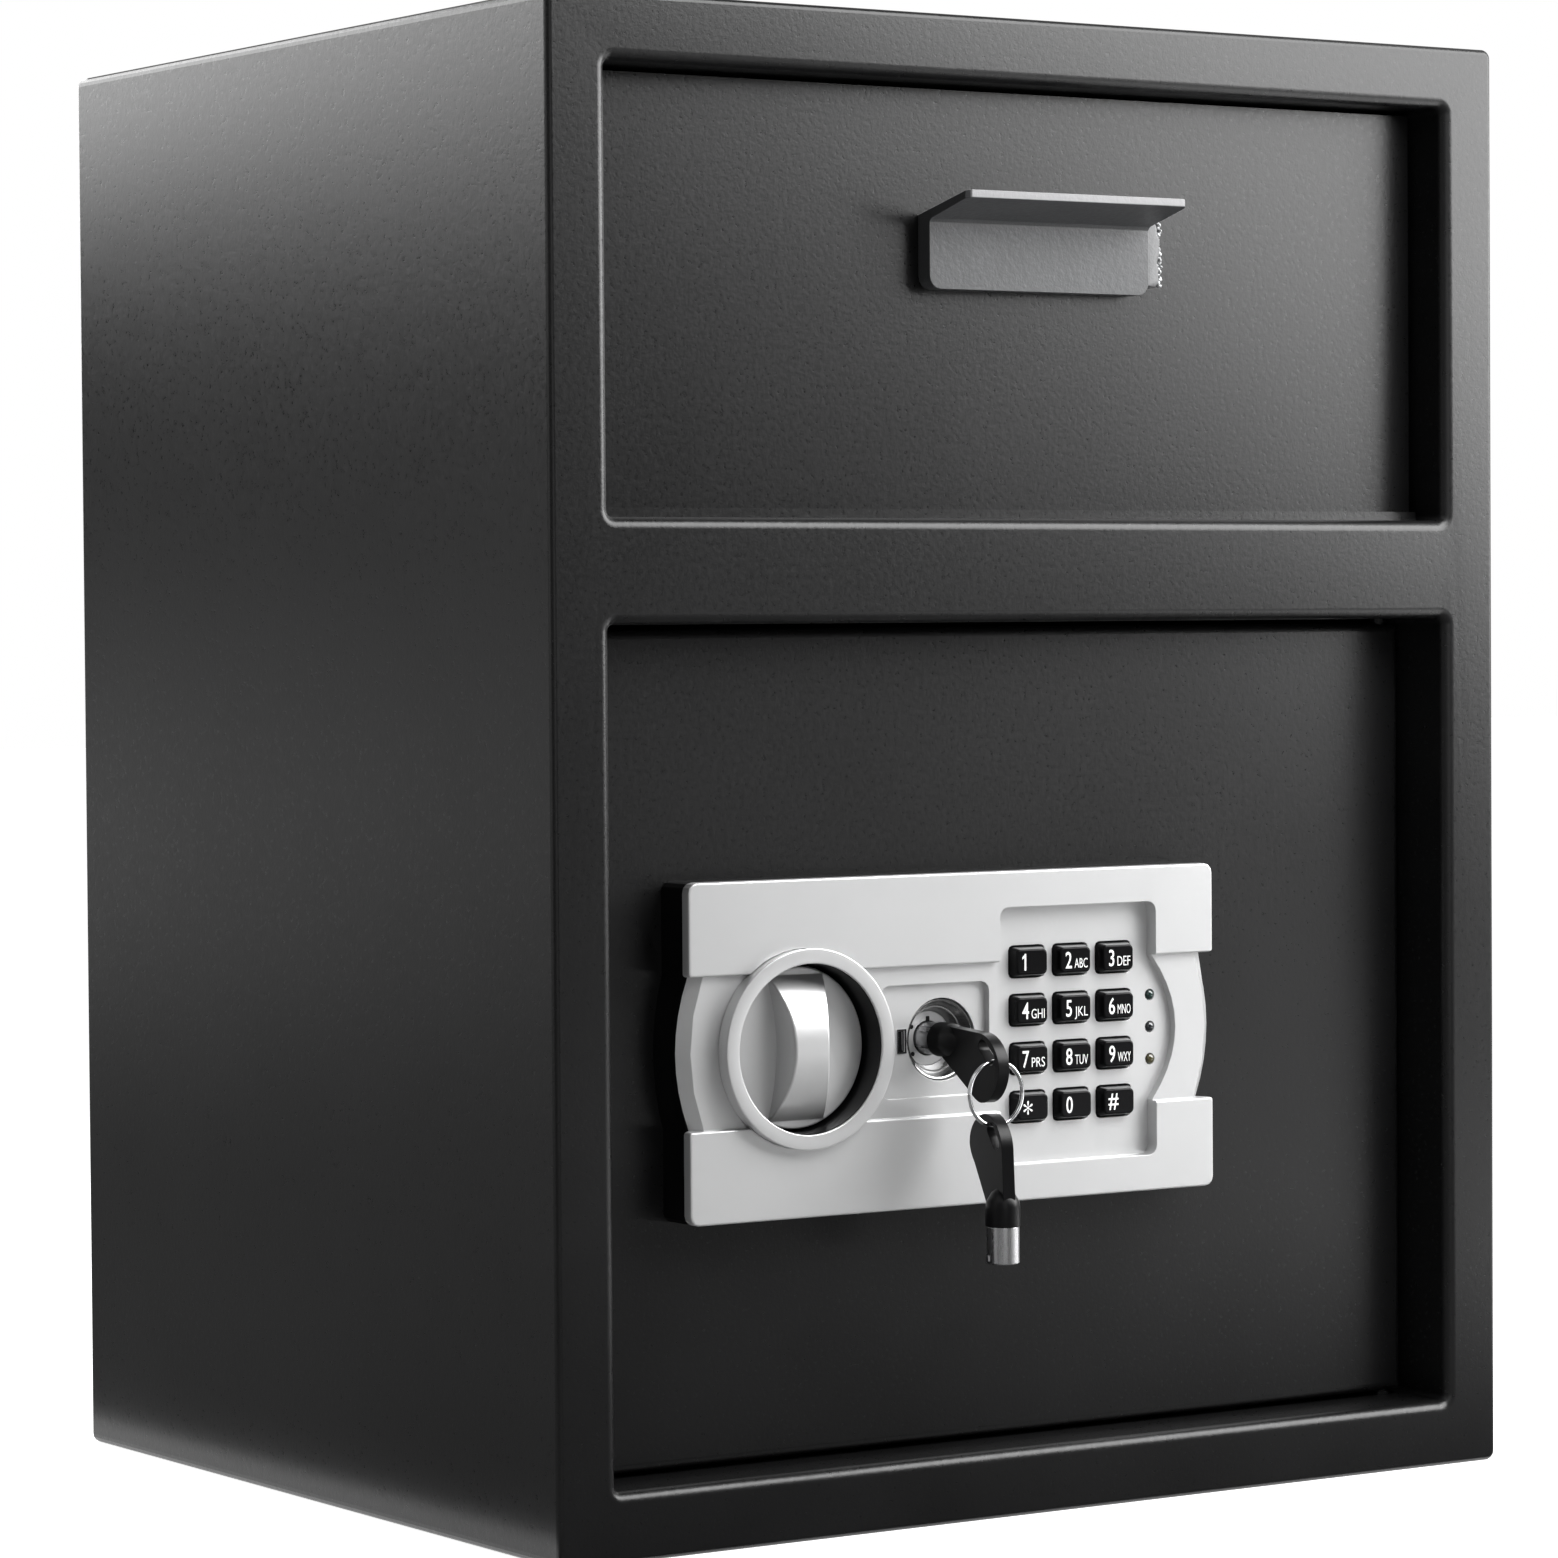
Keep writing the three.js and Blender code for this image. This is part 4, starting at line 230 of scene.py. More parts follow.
def grain_group():
    """Orange peel and cloudiness of a sprayed or moulded surface."""
    name = "Sprayed Grain"
    if name in bpy.data.node_groups:
        return bpy.data.node_groups[name]
    group, start, end = new_group(
        name,
        [("Grain Scale", "NodeSocketFloat", 900.0), ("Cloud Scale", "NodeSocketFloat", 14.0)],
        [("Height", "NodeSocketFloat"), ("Cloud", "NodeSocketFloat")])
    place = object_place(group)
    coarse = noise(group, place, start["Grain Scale"], 2.0, 0.55)
    fine = noise(group, place, maths(group, "MULTIPLY", start["Grain Scale"], 2.7), 1.0, 0.5)
    height = maths(group, "ADD", maths(group, "MULTIPLY", coarse, 0.7), maths(group, "MULTIPLY", fine, 0.3))
    group.links.new(height, end["Height"])
    group.links.new(noise(group, place, start["Cloud Scale"], 3.0, 0.6), end["Cloud"])
    return group


def brushed_group():
    """Fine lines drawn along one axis."""
    name = "Brushed Lines"
    if name in bpy.data.node_groups:
        return bpy.data.node_groups[name]
    group, start, end = new_group(
        name,
        [("Stretch", "NodeSocketVector", (40.0, 3000.0, 3000.0))],
        [("Lines", "NodeSocketFloat")])
    place = object_place(group)
    stretch = group.nodes.new("ShaderNodeVectorMath")
    stretch.operation = "MULTIPLY"
    group.links.new(place, stretch.inputs[0])
    group.links.new(start["Stretch"], stretch.inputs[1])
    group.links.new(noise(group, stretch.outputs[0], 1.0, 3.0, 0.6), end["Lines"])
    return group


def wear_group():
    """A mask of sparse scuffs and dust."""
    name = "Scuffs"
    if name in bpy.data.node_groups:
        return bpy.data.node_groups[name]
    group, start, end = new_group(
        name,
        [("Size", "NodeSocketFloat", 30.0), ("Amount", "NodeSocketFloat", 0.5)],
        [("Mask", "NodeSocketFloat")])
    place = object_place(group)
    patches = spread(group, noise(group, place, start["Size"], 4.0, 0.7), 0.55, 0.75, 0.0, 1.0)
    specks = noise(group, place, maths(group, "MULTIPLY", start["Size"], 22.0), 3.0, 0.7)
    both = maths(group, "MULTIPLY", patches, spread(group, specks, 0.5, 0.7, 0.0, 1.0))
    group.links.new(maths(group, "MULTIPLY", both, start["Amount"]), end["Mask"])
    return group


# Finishes


def new_material(name):
    material = bpy.data.materials.new(name)
    material.use_nodes = True
    return material, material.node_tree, material.node_tree.nodes["Principled BSDF"]


def use_group(tree, group, **values):
    node = tree.nodes.new("ShaderNodeGroup")
    node.node_tree = group
    set_inputs(node, **values)
    return node.outputs


def mix_colour(tree, fac, first, second):
    """Mixes two colours, each of them a tuple or a node's output."""
    node = tree.nodes.new("ShaderNodeMix")
    node.data_type = "RGBA"
    for label, colour in (("A", first), ("B", second)):
        if isinstance(colour, tuple):
            node.inputs[label].default_value = (*colour, 1.0)
        else:
            tree.links.new(colour, node.inputs[label])
    tree.links.new(fac, node.inputs["Factor"])
    return node.outputs["Result"]


def feed(tree, shader, label, value):
    """Links a value to one of the shader's inputs."""
    tree.links.new(value, shader.inputs[label])


def bump(tree, shader, height, distance):
    node = tree.nodes.new("ShaderNodeBump")
    set_inputs(node, Distance=distance, Strength=1.0)
    tree.links.new(height, node.inputs["Height"])
    tree.links.new(node.outputs["Normal"], shader.inputs["Normal"])


def tinted(colour, by):
    return tuple(min(1.0, channel * by) for channel in colour)


def roughen(tree, shader, height, low, high):
    """Lets the grain move the roughness between two values."""
    feed(tree, shader, "Roughness", spread(tree, height, 0.3, 0.7, low, high))


def sprayed(name, colour, rough, grain, depth, metallic=0.0, specular=0.5, wear=0.15, shift=0.25):
    """A coat with orange peel, faint clouds and a few scuffs."""
    material, tree, shader = new_material(name)
    grains = use_group(tree, grain_group(), Grain_Scale=grain)
    scuffs = use_group(tree, wear_group(), Amount=wear)
    clouds = spread(tree, grains["Cloud"], 0.3, 0.7, 0.0, 1.0)
    base = mix_colour(tree, clouds, tinted(colour, 1 - shift), tinted(colour, 1 + shift))
    feed(tree, shader, "Base Color", mix_colour(tree, scuffs["Mask"], base, tinted(colour, SCUFF_TINT)))
    roughen(tree, shader, grains["Height"], rough - 0.04, rough + 0.05)
    set_inputs(shader, Metallic=metallic, Specular_IOR_Level=specular)
    bump(tree, shader, grains["Height"], depth)
    return material


def bare_edge_highlight(material, depth, colour):
    """Shows bare metal in front of a depth, as on a cut edge, made lighter also as a painted highlight."""
    tree = material.node_tree
    shader = tree.nodes["Principled BSDF"]
    coat = shader.inputs["Base Color"].links[0].from_socket
    mask = spread(tree, object_axis(tree, "Y"), depth, depth + COLOUR_BORDER, 1.0, 0.0)
    feed(tree, shader, "Base Color", mix_colour(tree, mask, coat, colour))
    return material


def metal(name, colour, rough, stretch, depth):
    """Bare or plated metal with drawn lines."""
    material, tree, shader = new_material(name)
    lines = use_group(tree, brushed_group(), Stretch=stretch)["Lines"]
    scuffs = use_group(tree, wear_group(), Amount=0.2)["Mask"]
    feed(tree, shader, "Base Color", mix_colour(tree, lines, tinted(colour, 0.86), tinted(colour, 1.1)))
    drawn = spread(tree, lines, 0.3, 0.7, rough - 0.05, rough + 0.07)
    feed(tree, shader, "Roughness", maths(tree, "ADD", drawn, maths(tree, "MULTIPLY", scuffs, 0.15)))
    set_inputs(shader, Metallic=1.0)
    bump(tree, shader, lines, depth)
    return material


def woven_felt():
    material, tree, shader = new_material("felt_pile")
    grains = use_group(tree, grain_group(), Grain_Scale=1600.0, Cloud_Scale=25.0)
    pile = mix_colour(tree, grains["Cloud"], (0.03, 0.03, 0.035), (0.06, 0.06, 0.068))
    feed(tree, shader, "Base Color", pile)
    roughen(tree, shader, grains["Height"], 0.85, 1.0)
    set_inputs(shader, Sheen_Weight=0.4)
    bump(tree, shader, grains["Height"], 0.0004)
    return material


def battery_jacket():
    """A dark jacket with a copper-coloured upper third."""
    material, tree, shader = new_material("battery_wrap")
    low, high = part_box("battery")
    border = low.z + 0.66 * (high.z - low.z)
    mask = spread(tree, object_axis(tree, "Z"), border, border + COLOUR_BORDER, 0.0, 1.0)
    feed(tree, shader, "Base Color", mix_colour(tree, mask, (0.02, 0.02, 0.022), (0.42, 0.2, 0.06)))
    grains = use_group(tree, grain_group(), Grain_Scale=2500.0)
    roughen(tree, shader, grains["Height"], 0.25, 0.4)
    bump(tree, shader, grains["Height"], 0.00003)
    return material


def lens_tints():
    """Three tinted lenses: green, grey and olive from the top."""
    material, tree, shader = new_material("lens_tint")
    height = object_axis(tree, "Z")
    upper = maths(tree, "GREATER_THAN", height, (LOCK_Z + LENS_PITCH / 2) * MM)
    lower = maths(tree, "LESS_THAN", height, (LOCK_Z - LENS_PITCH / 2) * MM)
    tint = mix_colour(tree, upper, (0.008, 0.01, 0.012), (0.004, 0.018, 0.015))
    feed(tree, shader, "Base Color", mix_colour(tree, lower, tint, (0.045, 0.04, 0.015)))
    grains = use_group(tree, grain_group(), Grain_Scale=3000.0)
    roughen(tree, shader, grains["Height"], 0.06, 0.14)
    set_inputs(shader, Coat_Weight=0.6)
    return material


def make_finishes():
    colours = bpy.context.scene.safe_colours
    powder = tuple(colours.powder)
    silver = tuple(colours.silver)
    plastic = tuple(colours.plastic)
    key = tinted(plastic, 1.2)
    weld = (0.3, 0.305, 0.31)
    across, even = (200.0, 200.0, 2500.0), (900.0, 900.0, 900.0)
    handle = sprayed("handle_coat", tuple(colours.handle), 0.42, 560.0, 0.00012, specular=0.35, wear=0.4)
    finishes = {
        # The handle's front edge: bare metal of the cut edge, lightened also as a painted highlight.
        "handle_powder": bare_edge_highlight(handle, (HANDLE_TIP + 0.25) * MM, (0.22, 0.22, 0.225)),
        "weld_paint": sprayed("weld_metal", weld, 0.34, 700.0, 0.0002, metallic=0.5),
        "weld_side": sprayed("weld_side", (0.1, 0.101, 0.103), 0.45, 700.0, 0.0001, specular=0.35, wear=0.4),
        "silver_plastic": sprayed(
            "silver_paint", silver, 0.32, 3200.0, 0.000006, metallic=0.55, shift=0.03, wear=0.05),
        "black_plastic": sprayed("black_moulding", plastic, 0.32, 2600.0, 0.00001, wear=0.2, specular=0.18),
        "key_plastic": sprayed("key_moulding", key, 0.2, 2600.0, 0.000004, wear=0.1, specular=0.1),
        "chrome": metal("chrome_plate", (0.78, 0.79, 0.8), 0.12, across, 0.000004),
        # A darkened copy of the chrome: its darkness is painted shade for the collar's dark reflections.
        "dark_chrome": metal("dark_chrome_plate", (0.3, 0.3, 0.3), 0.2, across, 0.000004),
        "zinc": metal("zinc_plate", (0.56, 0.57, 0.55), 0.36, even, 0.00002),
        "steel": metal("turned_steel", (0.55, 0.55, 0.56), 0.28, (2600.0, 60.0, 60.0), 0.00001),
        "rubber": sprayed("rubber_sheet", (0.02, 0.02, 0.02), 0.75, 1800.0, 0.00003),
        "felt": woven_felt(),
        "board": sprayed("board_varnish", (0.012, 0.09, 0.03), 0.35, 1200.0, 0.00002),
        "battery_jacket": battery_jacket(),
        "lens": lens_tints(),
        "red_plastic": sprayed("red_moulding", (0.35, 0.012, 0.01), 0.3, 2600.0, 0.00001),
        "legend": sprayed("legend_print", (0.8, 0.8, 0.8), 0.5, 4000.0, 0.000002, shift=0.02, wear=0.3),
    }
    for place, gloss in (("black", 0.32), ("door", 0.35), ("hopper", 0.27)):
        name = "powder_coat" if place == "black" else f"{place}_powder_coat"
        finishes[f"{place}_powder"] = sprayed(name, powder, 0.3, 620.0, 0.00006, specular=gloss)
    return finishes


FINISHES = {}


# Meshes. Coordinates are written in millimetres and made metres here.


def linked(name, data):
    """A new object, put into the scene."""
    made = bpy.data.objects.new(name, data)
    bpy.context.scene.collection.objects.link(made)
    return made


def to_object(name, points, faces, finish, place=None):
    mesh = bpy.data.meshes.new(name)
    scaled = [Vector(point) * MM for point in points]
    if place is not None:
        scaled = [place @ point for point in scaled]
    mesh.from_pydata(scaled, [], faces)
    mesh.validate()
    part = linked(name, mesh)
    part.data.materials.append(FINISHES[finish])
    face_out(part)
    return part


def face_out(part):
    """Merges doubles and turns every face of a closed mesh outwards."""
    shape = bmesh.new()
    shape.from_mesh(part.data)
    bmesh.ops.remove_doubles(shape, verts=shape.verts, dist=0.002 * MM)
    bmesh.ops.recalc_face_normals(shape, faces=shape.faces)
    shape.to_mesh(part.data)
    shape.free()


def settle(part, bevel=0.0, segments=3, angle=28.0):
    """Rounds the edges, weights the normals and leaves a plain mesh."""
    part.data.shade_smooth()
    if bevel:
        rounding = part.modifiers.new("round", "BEVEL")
        rounding.width = bevel
        rounding.segments = segments
        rounding.limit_method = "ANGLE"
        rounding.angle_limit = math.radians(angle)
        rounding.use_clamp_overlap = True
        rounding.miter_outer = "MITER_ARC"
    else:
        part.data.set_sharp_from_angle(angle=math.radians(angle + 10.0))
    weight = part.modifiers.new("weight", "WEIGHTED_NORMAL")
    weight.keep_sharp = True
    return bake_modifiers(part)


def bake_modifiers(part):
    """Replaces a piece's mesh by its evaluated one, and drops the modifiers."""
    seen = part.evaluated_get(bpy.context.evaluated_depsgraph_get())
    mesh = bpy.data.meshes.new_from_object(seen)
    part.modifiers.clear()
    old = part.data
    part.data = mesh
    mesh.name = part.name
    bpy.data.meshes.remove(old)
    return part


def place_on(part, body, slot, *nodes):
    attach(part, body)
    if nodes:
        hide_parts(*nodes)
    return part


def finished(name, shape, finish, body, slot, *nodes, angle=28.0, place=None):
    """A whole piece from its points and faces, on its body and over the nodes that it replaces."""
    part = settle(to_object(name, *shape, finish, place), angle=angle)
    return place_on(part, body, slot, *nodes)


def quarter(steps):
    """Sine and cosine of the angles from nought to ninety degrees."""
    for i in range(steps + 1):
        angle = math.radians(90 * i / steps)
        yield math.sin(angle), math.cos(angle)


def rounded_outline(bounds, corner, steps):
    """A rounded rectangle in X and Z, from its lower right corner round."""
    x0, x1, z0, z1 = bounds
    centres = [(x1 - corner, z0 + corner, -90), (x1 - corner, z1 - corner, 0),
               (x0 + corner, z1 - corner, 90), (x0 + corner, z0 + corner, 180)]
    points = []
    for x, z, start in centres:
        for i in range(steps + 1):
            angle = math.radians(start + 90 * i / steps)
            points.append((x + corner * math.cos(angle), z + corner * math.sin(angle)))
    return points


def grown(bounds, by):
    x0, x1, z0, z1 = bounds
    return (x0 - by, x1 + by, z0 - by, z1 + by)


class Shell:
    """Points and faces of a mesh that is put together from rings."""

    def __init__(self):
        self.points = []
        self.faces = []

    def ring(self, outline, y):
        first = len(self.points)
        self.points.extend((x, y, z) for x, z in outline)
        return range(first, len(self.points))

    def wall(self, low, high):
        count = len(low)
        for i in range(count):
            j = (i + 1) % count
            self.faces.append((low[i], low[j], high[j], high[i]))

    def cap(self, *rings):
        loops = [[Vector((self.points[i][0], self.points[i][2], 0.0)) for i in ring] for ring in rings]
        order = [i for ring in rings for i in ring]
        for triangle in tessellate_polygon(loops):
            self.faces.append(tuple(order[i] for i in triangle))

    def loft(self, stations):
        rings = [self.ring(outline, y) for outline, y in stations]
        for low, high in zip(rings, rings[1:]):
            self.wall(low, high)
        return rings

    def solid(self, stations):
        """Lofts the stations, closes both ends and gives the points and faces."""
        rings = self.loft(stations)
        self.cap(rings[0])
        self.cap(rings[-1])
        return self.points, self.faces


def slab(bounds, corner, front, back, hole=None):
    """A rounded plate between two depths, with or without a square hole."""
    shell = Shell()
    outer = [(rounded_outline(bounds, corner, 3), y) for y in (front, back)]
    if hole is None:
        return shell.solid(outer)
    rings = shell.loft(outer)
    inner = shell.loft([(rounded_outline(hole, corner / 2, 3), y) for y in (front, back)])
    shell.cap(rings[0], inner[0])
    shell.cap(rings[1], inner[1])
    return shell.points, shell.faces


def together(parts):
    """Joins (points, faces) pairs into one."""
    points, faces = [], []
    for some_points, some_faces in parts:
        first = len(points)
        points += some_points
        faces += [tuple(i + first for i in face) for face in some_faces]
    return points, faces


def turned(profile, steps, x=0.0, z=0.0):
    """Turns (radius, depth) pairs about a line along Y. A radius of nought closes the end."""
    points, rows, faces = [], [], []
    for radius, y in profile:
        if radius <= 0:
            rows.append([len(points)] * steps)
            points.append((x, y, z))
            continue
        rows.append(list(range(len(points), len(points) + steps)))
        for i in range(steps):
            angle = 2 * math.pi * i / steps
            points.append((x + radius * math.cos(angle), y, z + radius * math.sin(angle)))
    for low, high in zip(rows, rows[1:]):
        for i in range(steps):
            j = (i + 1) % steps
            corners = tuple(dict.fromkeys((low[i], low[j], high[j], high[i])))
            if len(corners) > 2:
                faces.append(corners)
    return points, faces


def from_axes(across, along, out, place):
    """The matrix whose columns are three axes, at a place in millimetres."""
    matrix = Matrix((across, along, out)).transposed().to_4x4()
    matrix.translation = Vector(place) * MM
    return matrix


def softened_copy(node, name, finish, bevel, segments=3, dissolve=3.0, reshape=None):
    """A copy of a CAD node with its flat faces joined and its edges rounded."""
    part = linked(name, frame["nodes"][node].data.copy())
    part.data.materials.clear()
    part.data.materials.append(FINISHES[finish])
    shape = bmesh.new()
    shape.from_mesh(part.data)
    bmesh.ops.remove_doubles(shape, verts=shape.verts, dist=0.004 * MM)
    bmesh.ops.dissolve_limit(
        shape, angle_limit=math.radians(dissolve), verts=shape.verts, edges=shape.edges)
    if reshape:
        reshape(shape)
    bmesh.ops.recalc_face_normals(shape, faces=shape.faces)
    shape.to_mesh(part.data)
    shape.free()
    return settle(part, bevel, segments)


# Geometry Nodes


class Tree:
    """A geometry node tree with named inputs, made one node at a time."""

    def __init__(self, name, inputs):
        self.group = bpy.data.node_groups.new(name, "GeometryNodeTree")
        self.values = {}
        for label, kind, value in inputs:
            socket = self.group.interface.new_socket(label, in_out="INPUT", socket_type=kind)
            if value is not None:
                self.values[socket.identifier] = value
        self.group.interface.new_socket("Geometry", in_out="OUTPUT", socket_type="NodeSocketGeometry")
        self.start = self.group.nodes.new("NodeGroupInput")

    def given(self, label):
        return self.start.outputs[label]

    def node(self, kind, settings=(), **inputs):
        """A new node, its settings, and its inputs as values or links. Gives its outputs."""
        node = self.group.nodes.new(kind)
        for key, value in dict(settings).items():
            setattr(node, key, value)
        for key, value in inputs.items():
            socket = node.inputs[key.replace("_", " ")]
            if isinstance(value, bpy.types.NodeSocket):
                self.group.links.new(value, socket)
            else:
                socket.default_value = value
        return node.outputs

    def scatter(self, seed, low, high):
        """A random vector for each point, between two corners."""
        vector = self.node("FunctionNodeRandomValue", {"data_type": "FLOAT_VECTOR"}, Seed=seed)[0]
        for socket, corner in zip(vector.node.inputs, (low, high)):
            socket.default_value = corner
        return vector

    def sweep(self, radius, profile, resolution):
        """Sweeps a section round a circle that stands upright about the tree's centre."""
        path = self.node(
            "GeometryNodeCurvePrimitiveCircle", Resolution=resolution, Radius=self.given(radius))
        swept = self.node("GeometryNodeCurveToMesh", Curve=path[0], Profile_Curve=profile)
        return self.node("GeometryNodeTransform", Geometry=swept[0], Translation=self.given("Centre"),
                         Rotation=(math.pi / 2, 0.0, 0.0))[0]

    def end(self, geometry, finish):
        realized = self.node("GeometryNodeRealizeInstances", Geometry=geometry)
        smooth = self.node("GeometryNodeSetShadeSmooth", Geometry=realized[0])
        painted = self.node("GeometryNodeSetMaterial", Geometry=smooth[0], Material=FINISHES[finish])
        out = self.group.nodes.new("NodeGroupOutput")
        self.group.links.new(painted[0], out.inputs[0])

    def grow(self, name, mesh=None):
        """Runs the tree on a new object and keeps its result as a plain mesh."""
        part = linked(name, mesh or bpy.data.meshes.new(name))
        modifier = part.modifiers.new(name, "NODES")
        modifier.node_group = self.group
        for identifier, value in self.values.items():
            modifier[identifier] = value
        return bake_modifiers(part)


def ring_tree():
    """A wire bent into a ring in the XZ plane."""
    tree = Tree("Key Ring", [
        ("Ring Radius", "NodeSocketFloat", RING_RADIUS * MM),
        ("Wire Radius", "NodeSocketFloat", bpy.context.scene.safe_sizes.ring_wire / 2),
        ("Centre", "NodeSocketVector", [value * MM for value in RING_CENTRE]),
    ])
    wire = tree.node("GeometryNodeCurvePrimitiveCircle", Resolution=16, Radius=tree.given("Wire Radius"))
    tree.end(tree.sweep("Ring Radius", wire[0], 96), "chrome")
    return tree


def bezel_tree():
    """A rounded four-sided section swept round the knob's well."""
    tree = Tree("Knob Bezel", [
        ("Middle Radius", "NodeSocketFloat", 27.45 * MM),
        ("Band Height", "NodeSocketFloat", 5.5 * MM),
        ("Foot Width", "NodeSocketFloat", 4.6 * MM),
        ("Face Width", "NodeSocketFloat", 3.5 * MM),
        ("Rounding", "NodeSocketFloat", 0.4 * MM),
        ("Centre", "NodeSocketVector", (KNOB_X * MM, (BEZEL_FACE + BAND_FACE) / 2 * MM, LOCK_Z * MM)),
    ])
    section = tree.node(
        "GeometryNodeCurvePrimitiveQuadrilateral", {"mode": "TRAPEZOID"},
        Height=tree.given("Band Height"), Bottom_Width=tree.given("Foot Width"),
        Top_Width=tree.given("Face Width"), Offset=0.00015)
    rounded = tree.node("GeometryNodeFilletCurve", {"mode": "POLY"}, Curve=section[0],
                        Radius=tree.given("Rounding"), Count=5)
    tree.end(tree.sweep("Middle Radius", rounded[0], 128), "silver_plastic")
    return tree


def weld_tree():
    """Lumps of random size along a line, for a ragged weld bead."""
    x, y = HANDLE[1] + 5.0, HOPPER_FACE - 4.4
    tree = Tree("Weld Bead", [
        ("Start", "NodeSocketVector", (x * MM, y * MM, (HANDLE[2] + 3.5) * MM)),
        ("End", "NodeSocketVector", ((x - 0.4) * MM, y * MM, (HANDLE[3] + 1.6) * MM)),
        ("Lumps", "NodeSocketInt", bpy.context.scene.safe_sizes.weld_lumps),
        ("Lump Radius", "NodeSocketFloat", 0.95 * MM),
        ("Wander", "NodeSocketFloat", 0.6 * MM),
    ])
    line = tree.node("GeometryNodeCurvePrimitiveLine", Start=tree.given("Start"), End=tree.given("End"))
    spaced = tree.node("GeometryNodeResampleCurve", Curve=line[0], Count=tree.given("Lumps"))
    wander = tree.scatter(4, (-1.0, -0.7, -0.5), (1.0, 0.6, 0.5))
    scaled = tree.node("ShaderNodeVectorMath", {"operation": "SCALE"}, Scale=tree.given("Wander"))[0]
    tree.group.links.new(wander, scaled.node.inputs[0])
    moved = tree.node("GeometryNodeSetPosition", Geometry=spaced[0], Offset=scaled)
    ball = tree.node("GeometryNodeMeshIcoSphere", Radius=tree.given("Lump Radius"), Subdivisions=3)
    size = tree.scatter(9, (0.6, 0.7, 0.55), (1.3, 1.15, 1.0))
    lumps = tree.node("GeometryNodeInstanceOnPoints", Points=moved[0], Instance=ball[0], Scale=size)
    tree.end(lumps[0], "weld_paint")
    return tree


def screw_tree(head):
    """One screw on each of the cover's screw places."""
    tree = Tree("Cover Screws", [("Spots", "NodeSocketGeometry", None)])
    source = tree.node("GeometryNodeObjectInfo", Object=head)
    turn = tree.scatter(2, (0.0, 0.0, 0.0), (0.0, 1.5, 0.0))
    screws = tree.node("GeometryNodeInstanceOnPoints", Points=tree.given("Spots"),
                       Instance=source["Geometry"], Rotation=turn)
    tree.end(screws[0], "zinc")
    return tree


# Pieces of the body


def frame_pressing():
    """The front frame: one sheet with two pressed recesses and rounded lips."""
    sizes = bpy.context.scene.safe_sizes
    lip = sizes.lip_round / MM
    edge = sizes.edge_round / MM
    bounds = (-HALF_WIDTH, HALF_WIDTH, 0.0, HEIGHT)
    corner, sheet, corner_steps = 3.0, 2.0, 8
    shell = Shell()
    stations = [(rounded_outline(bounds, corner, corner_steps), PLATE_BACK)]
    for sine, cosine in quarter(sizes.arc_steps):
        by = edge * (1 - cosine)
        outline = rounded_outline(grown(bounds, -by), corner - by, corner_steps)
        stations.append((outline, FRONT + edge * (1 - sine)))
    outer = shell.loft(stations)
    mouths, ends = [], []
    for opening, end in ((DOOR_OPENING, DOOR_JAMB_END), (HOPPER_OPENING, HOPPER_JAMB_END)):
        stations = []
        for sine, cosine in quarter(sizes.arc_steps):
            by = lip * (1 - sine)
            outline = rounded_outline(grown(opening, by), OPENING_CORNER + by, corner_steps)
            stations.append((outline, FRONT + lip * (1 - cosine)))
        outside = rounded_outline(grown(opening, sheet), OPENING_CORNER + sheet, corner_steps)
        stations.append((rounded_outline(opening, OPENING_CORNER, corner_steps), end))
        stations += [(outside, end), (outside, PLATE_BACK)]
        jamb = shell.loft(stations)
        mouths.append(jamb[0])
        ends.append(jamb[-1])
    shell.cap(outer[-1], *mouths)
    shell.cap(outer[0], *ends)
    shape = (shell.points, shell.faces)
    return finished("front_frame_pressing", shape, "black_powder", "safe", "black_powder", "front_frame")


def rolled_panel():
    """The door's panel, with its front edge rolled over to the back."""
    bounds = grown(DOOR_OPENING, -DOOR_GAP)
    roll, corner = 2.8, OPENING_CORNER - DOOR_GAP
    stations = []
    for sine, cosine in quarter(6):
        by = roll * (1 - sine)
        outline = rounded_outline(grown(bounds, -by), max(corner - by, 0.1), 3)
        stations.append((outline, DOOR_FACE + roll * (1 - cosine)))
    stations.append((rounded_outline(bounds, corner, 3), DOOR_FACE + DOOR_PLATE))
    shape = Shell().solid(stations)
    return finished(
        "door_panel_rolled", shape, "door_powder", "door", "door_powder", "door_panel", angle=40.0)


def sill_strip():
    """The strip that covers the gap under the hopper's panel."""
    x0, x1, z0, _ = HOPPER_OPENING
    gap, tuck, cover, thick, corner = 1.3, 1.0, 2.9, 2.0, 0.4
    back = HOPPER_FACE - gap
    shape = slab((x0 + gap, x1 - gap, z0 - tuck, z0 + cover), corner, back - thick, back)
    return finished("hopper_sill_strip", shape, "door_powder", "safe", "black_powder")


def pull_handle():
    sizes = bpy.context.scene.safe_sizes
    part = softened_copy("hopper_handle", "pull_handle", "handle_powder", sizes.handle_round, 2)
    return place_on(part, "hopper", "handle_powder", "hopper_handle")


def weld_fillet():
    """The weld's smooth side: flush with the handle's leg, and ragged at its outer edge."""
    near, low, high = HANDLE[1] - 0.4, HANDLE[2] + 2.6, HANDLE[3] + 2.2
    steps = 16
    layers = ((3.7, 0.9, -5.95), (4.5, 0.4, -5.6), (5.1, 0.1, -4.6), (5.5, 0.0, -2.5), (5.7, 0.0, -0.4))
    stations = []
    for reach, trim, y in layers:
        outline = [(near, high - trim), (near, low + trim)]
        for i in range(steps + 1):
            share = i / steps
            ragged = 0.4 * math.sin(11.0 * share + 1.0) + 0.25 * math.sin(29.0 * share)
            round_off = 1.6 * abs(2 * share - 1) ** 6
            outline.append((near + reach + ragged - round_off, low + trim + share * (high - low - 2 * trim)))
        stations.append((outline, HOPPER_FACE + y))
    return finished("weld_fillet", Shell().solid(stations), "weld_side", "hopper", "weld_paint", angle=50.0)


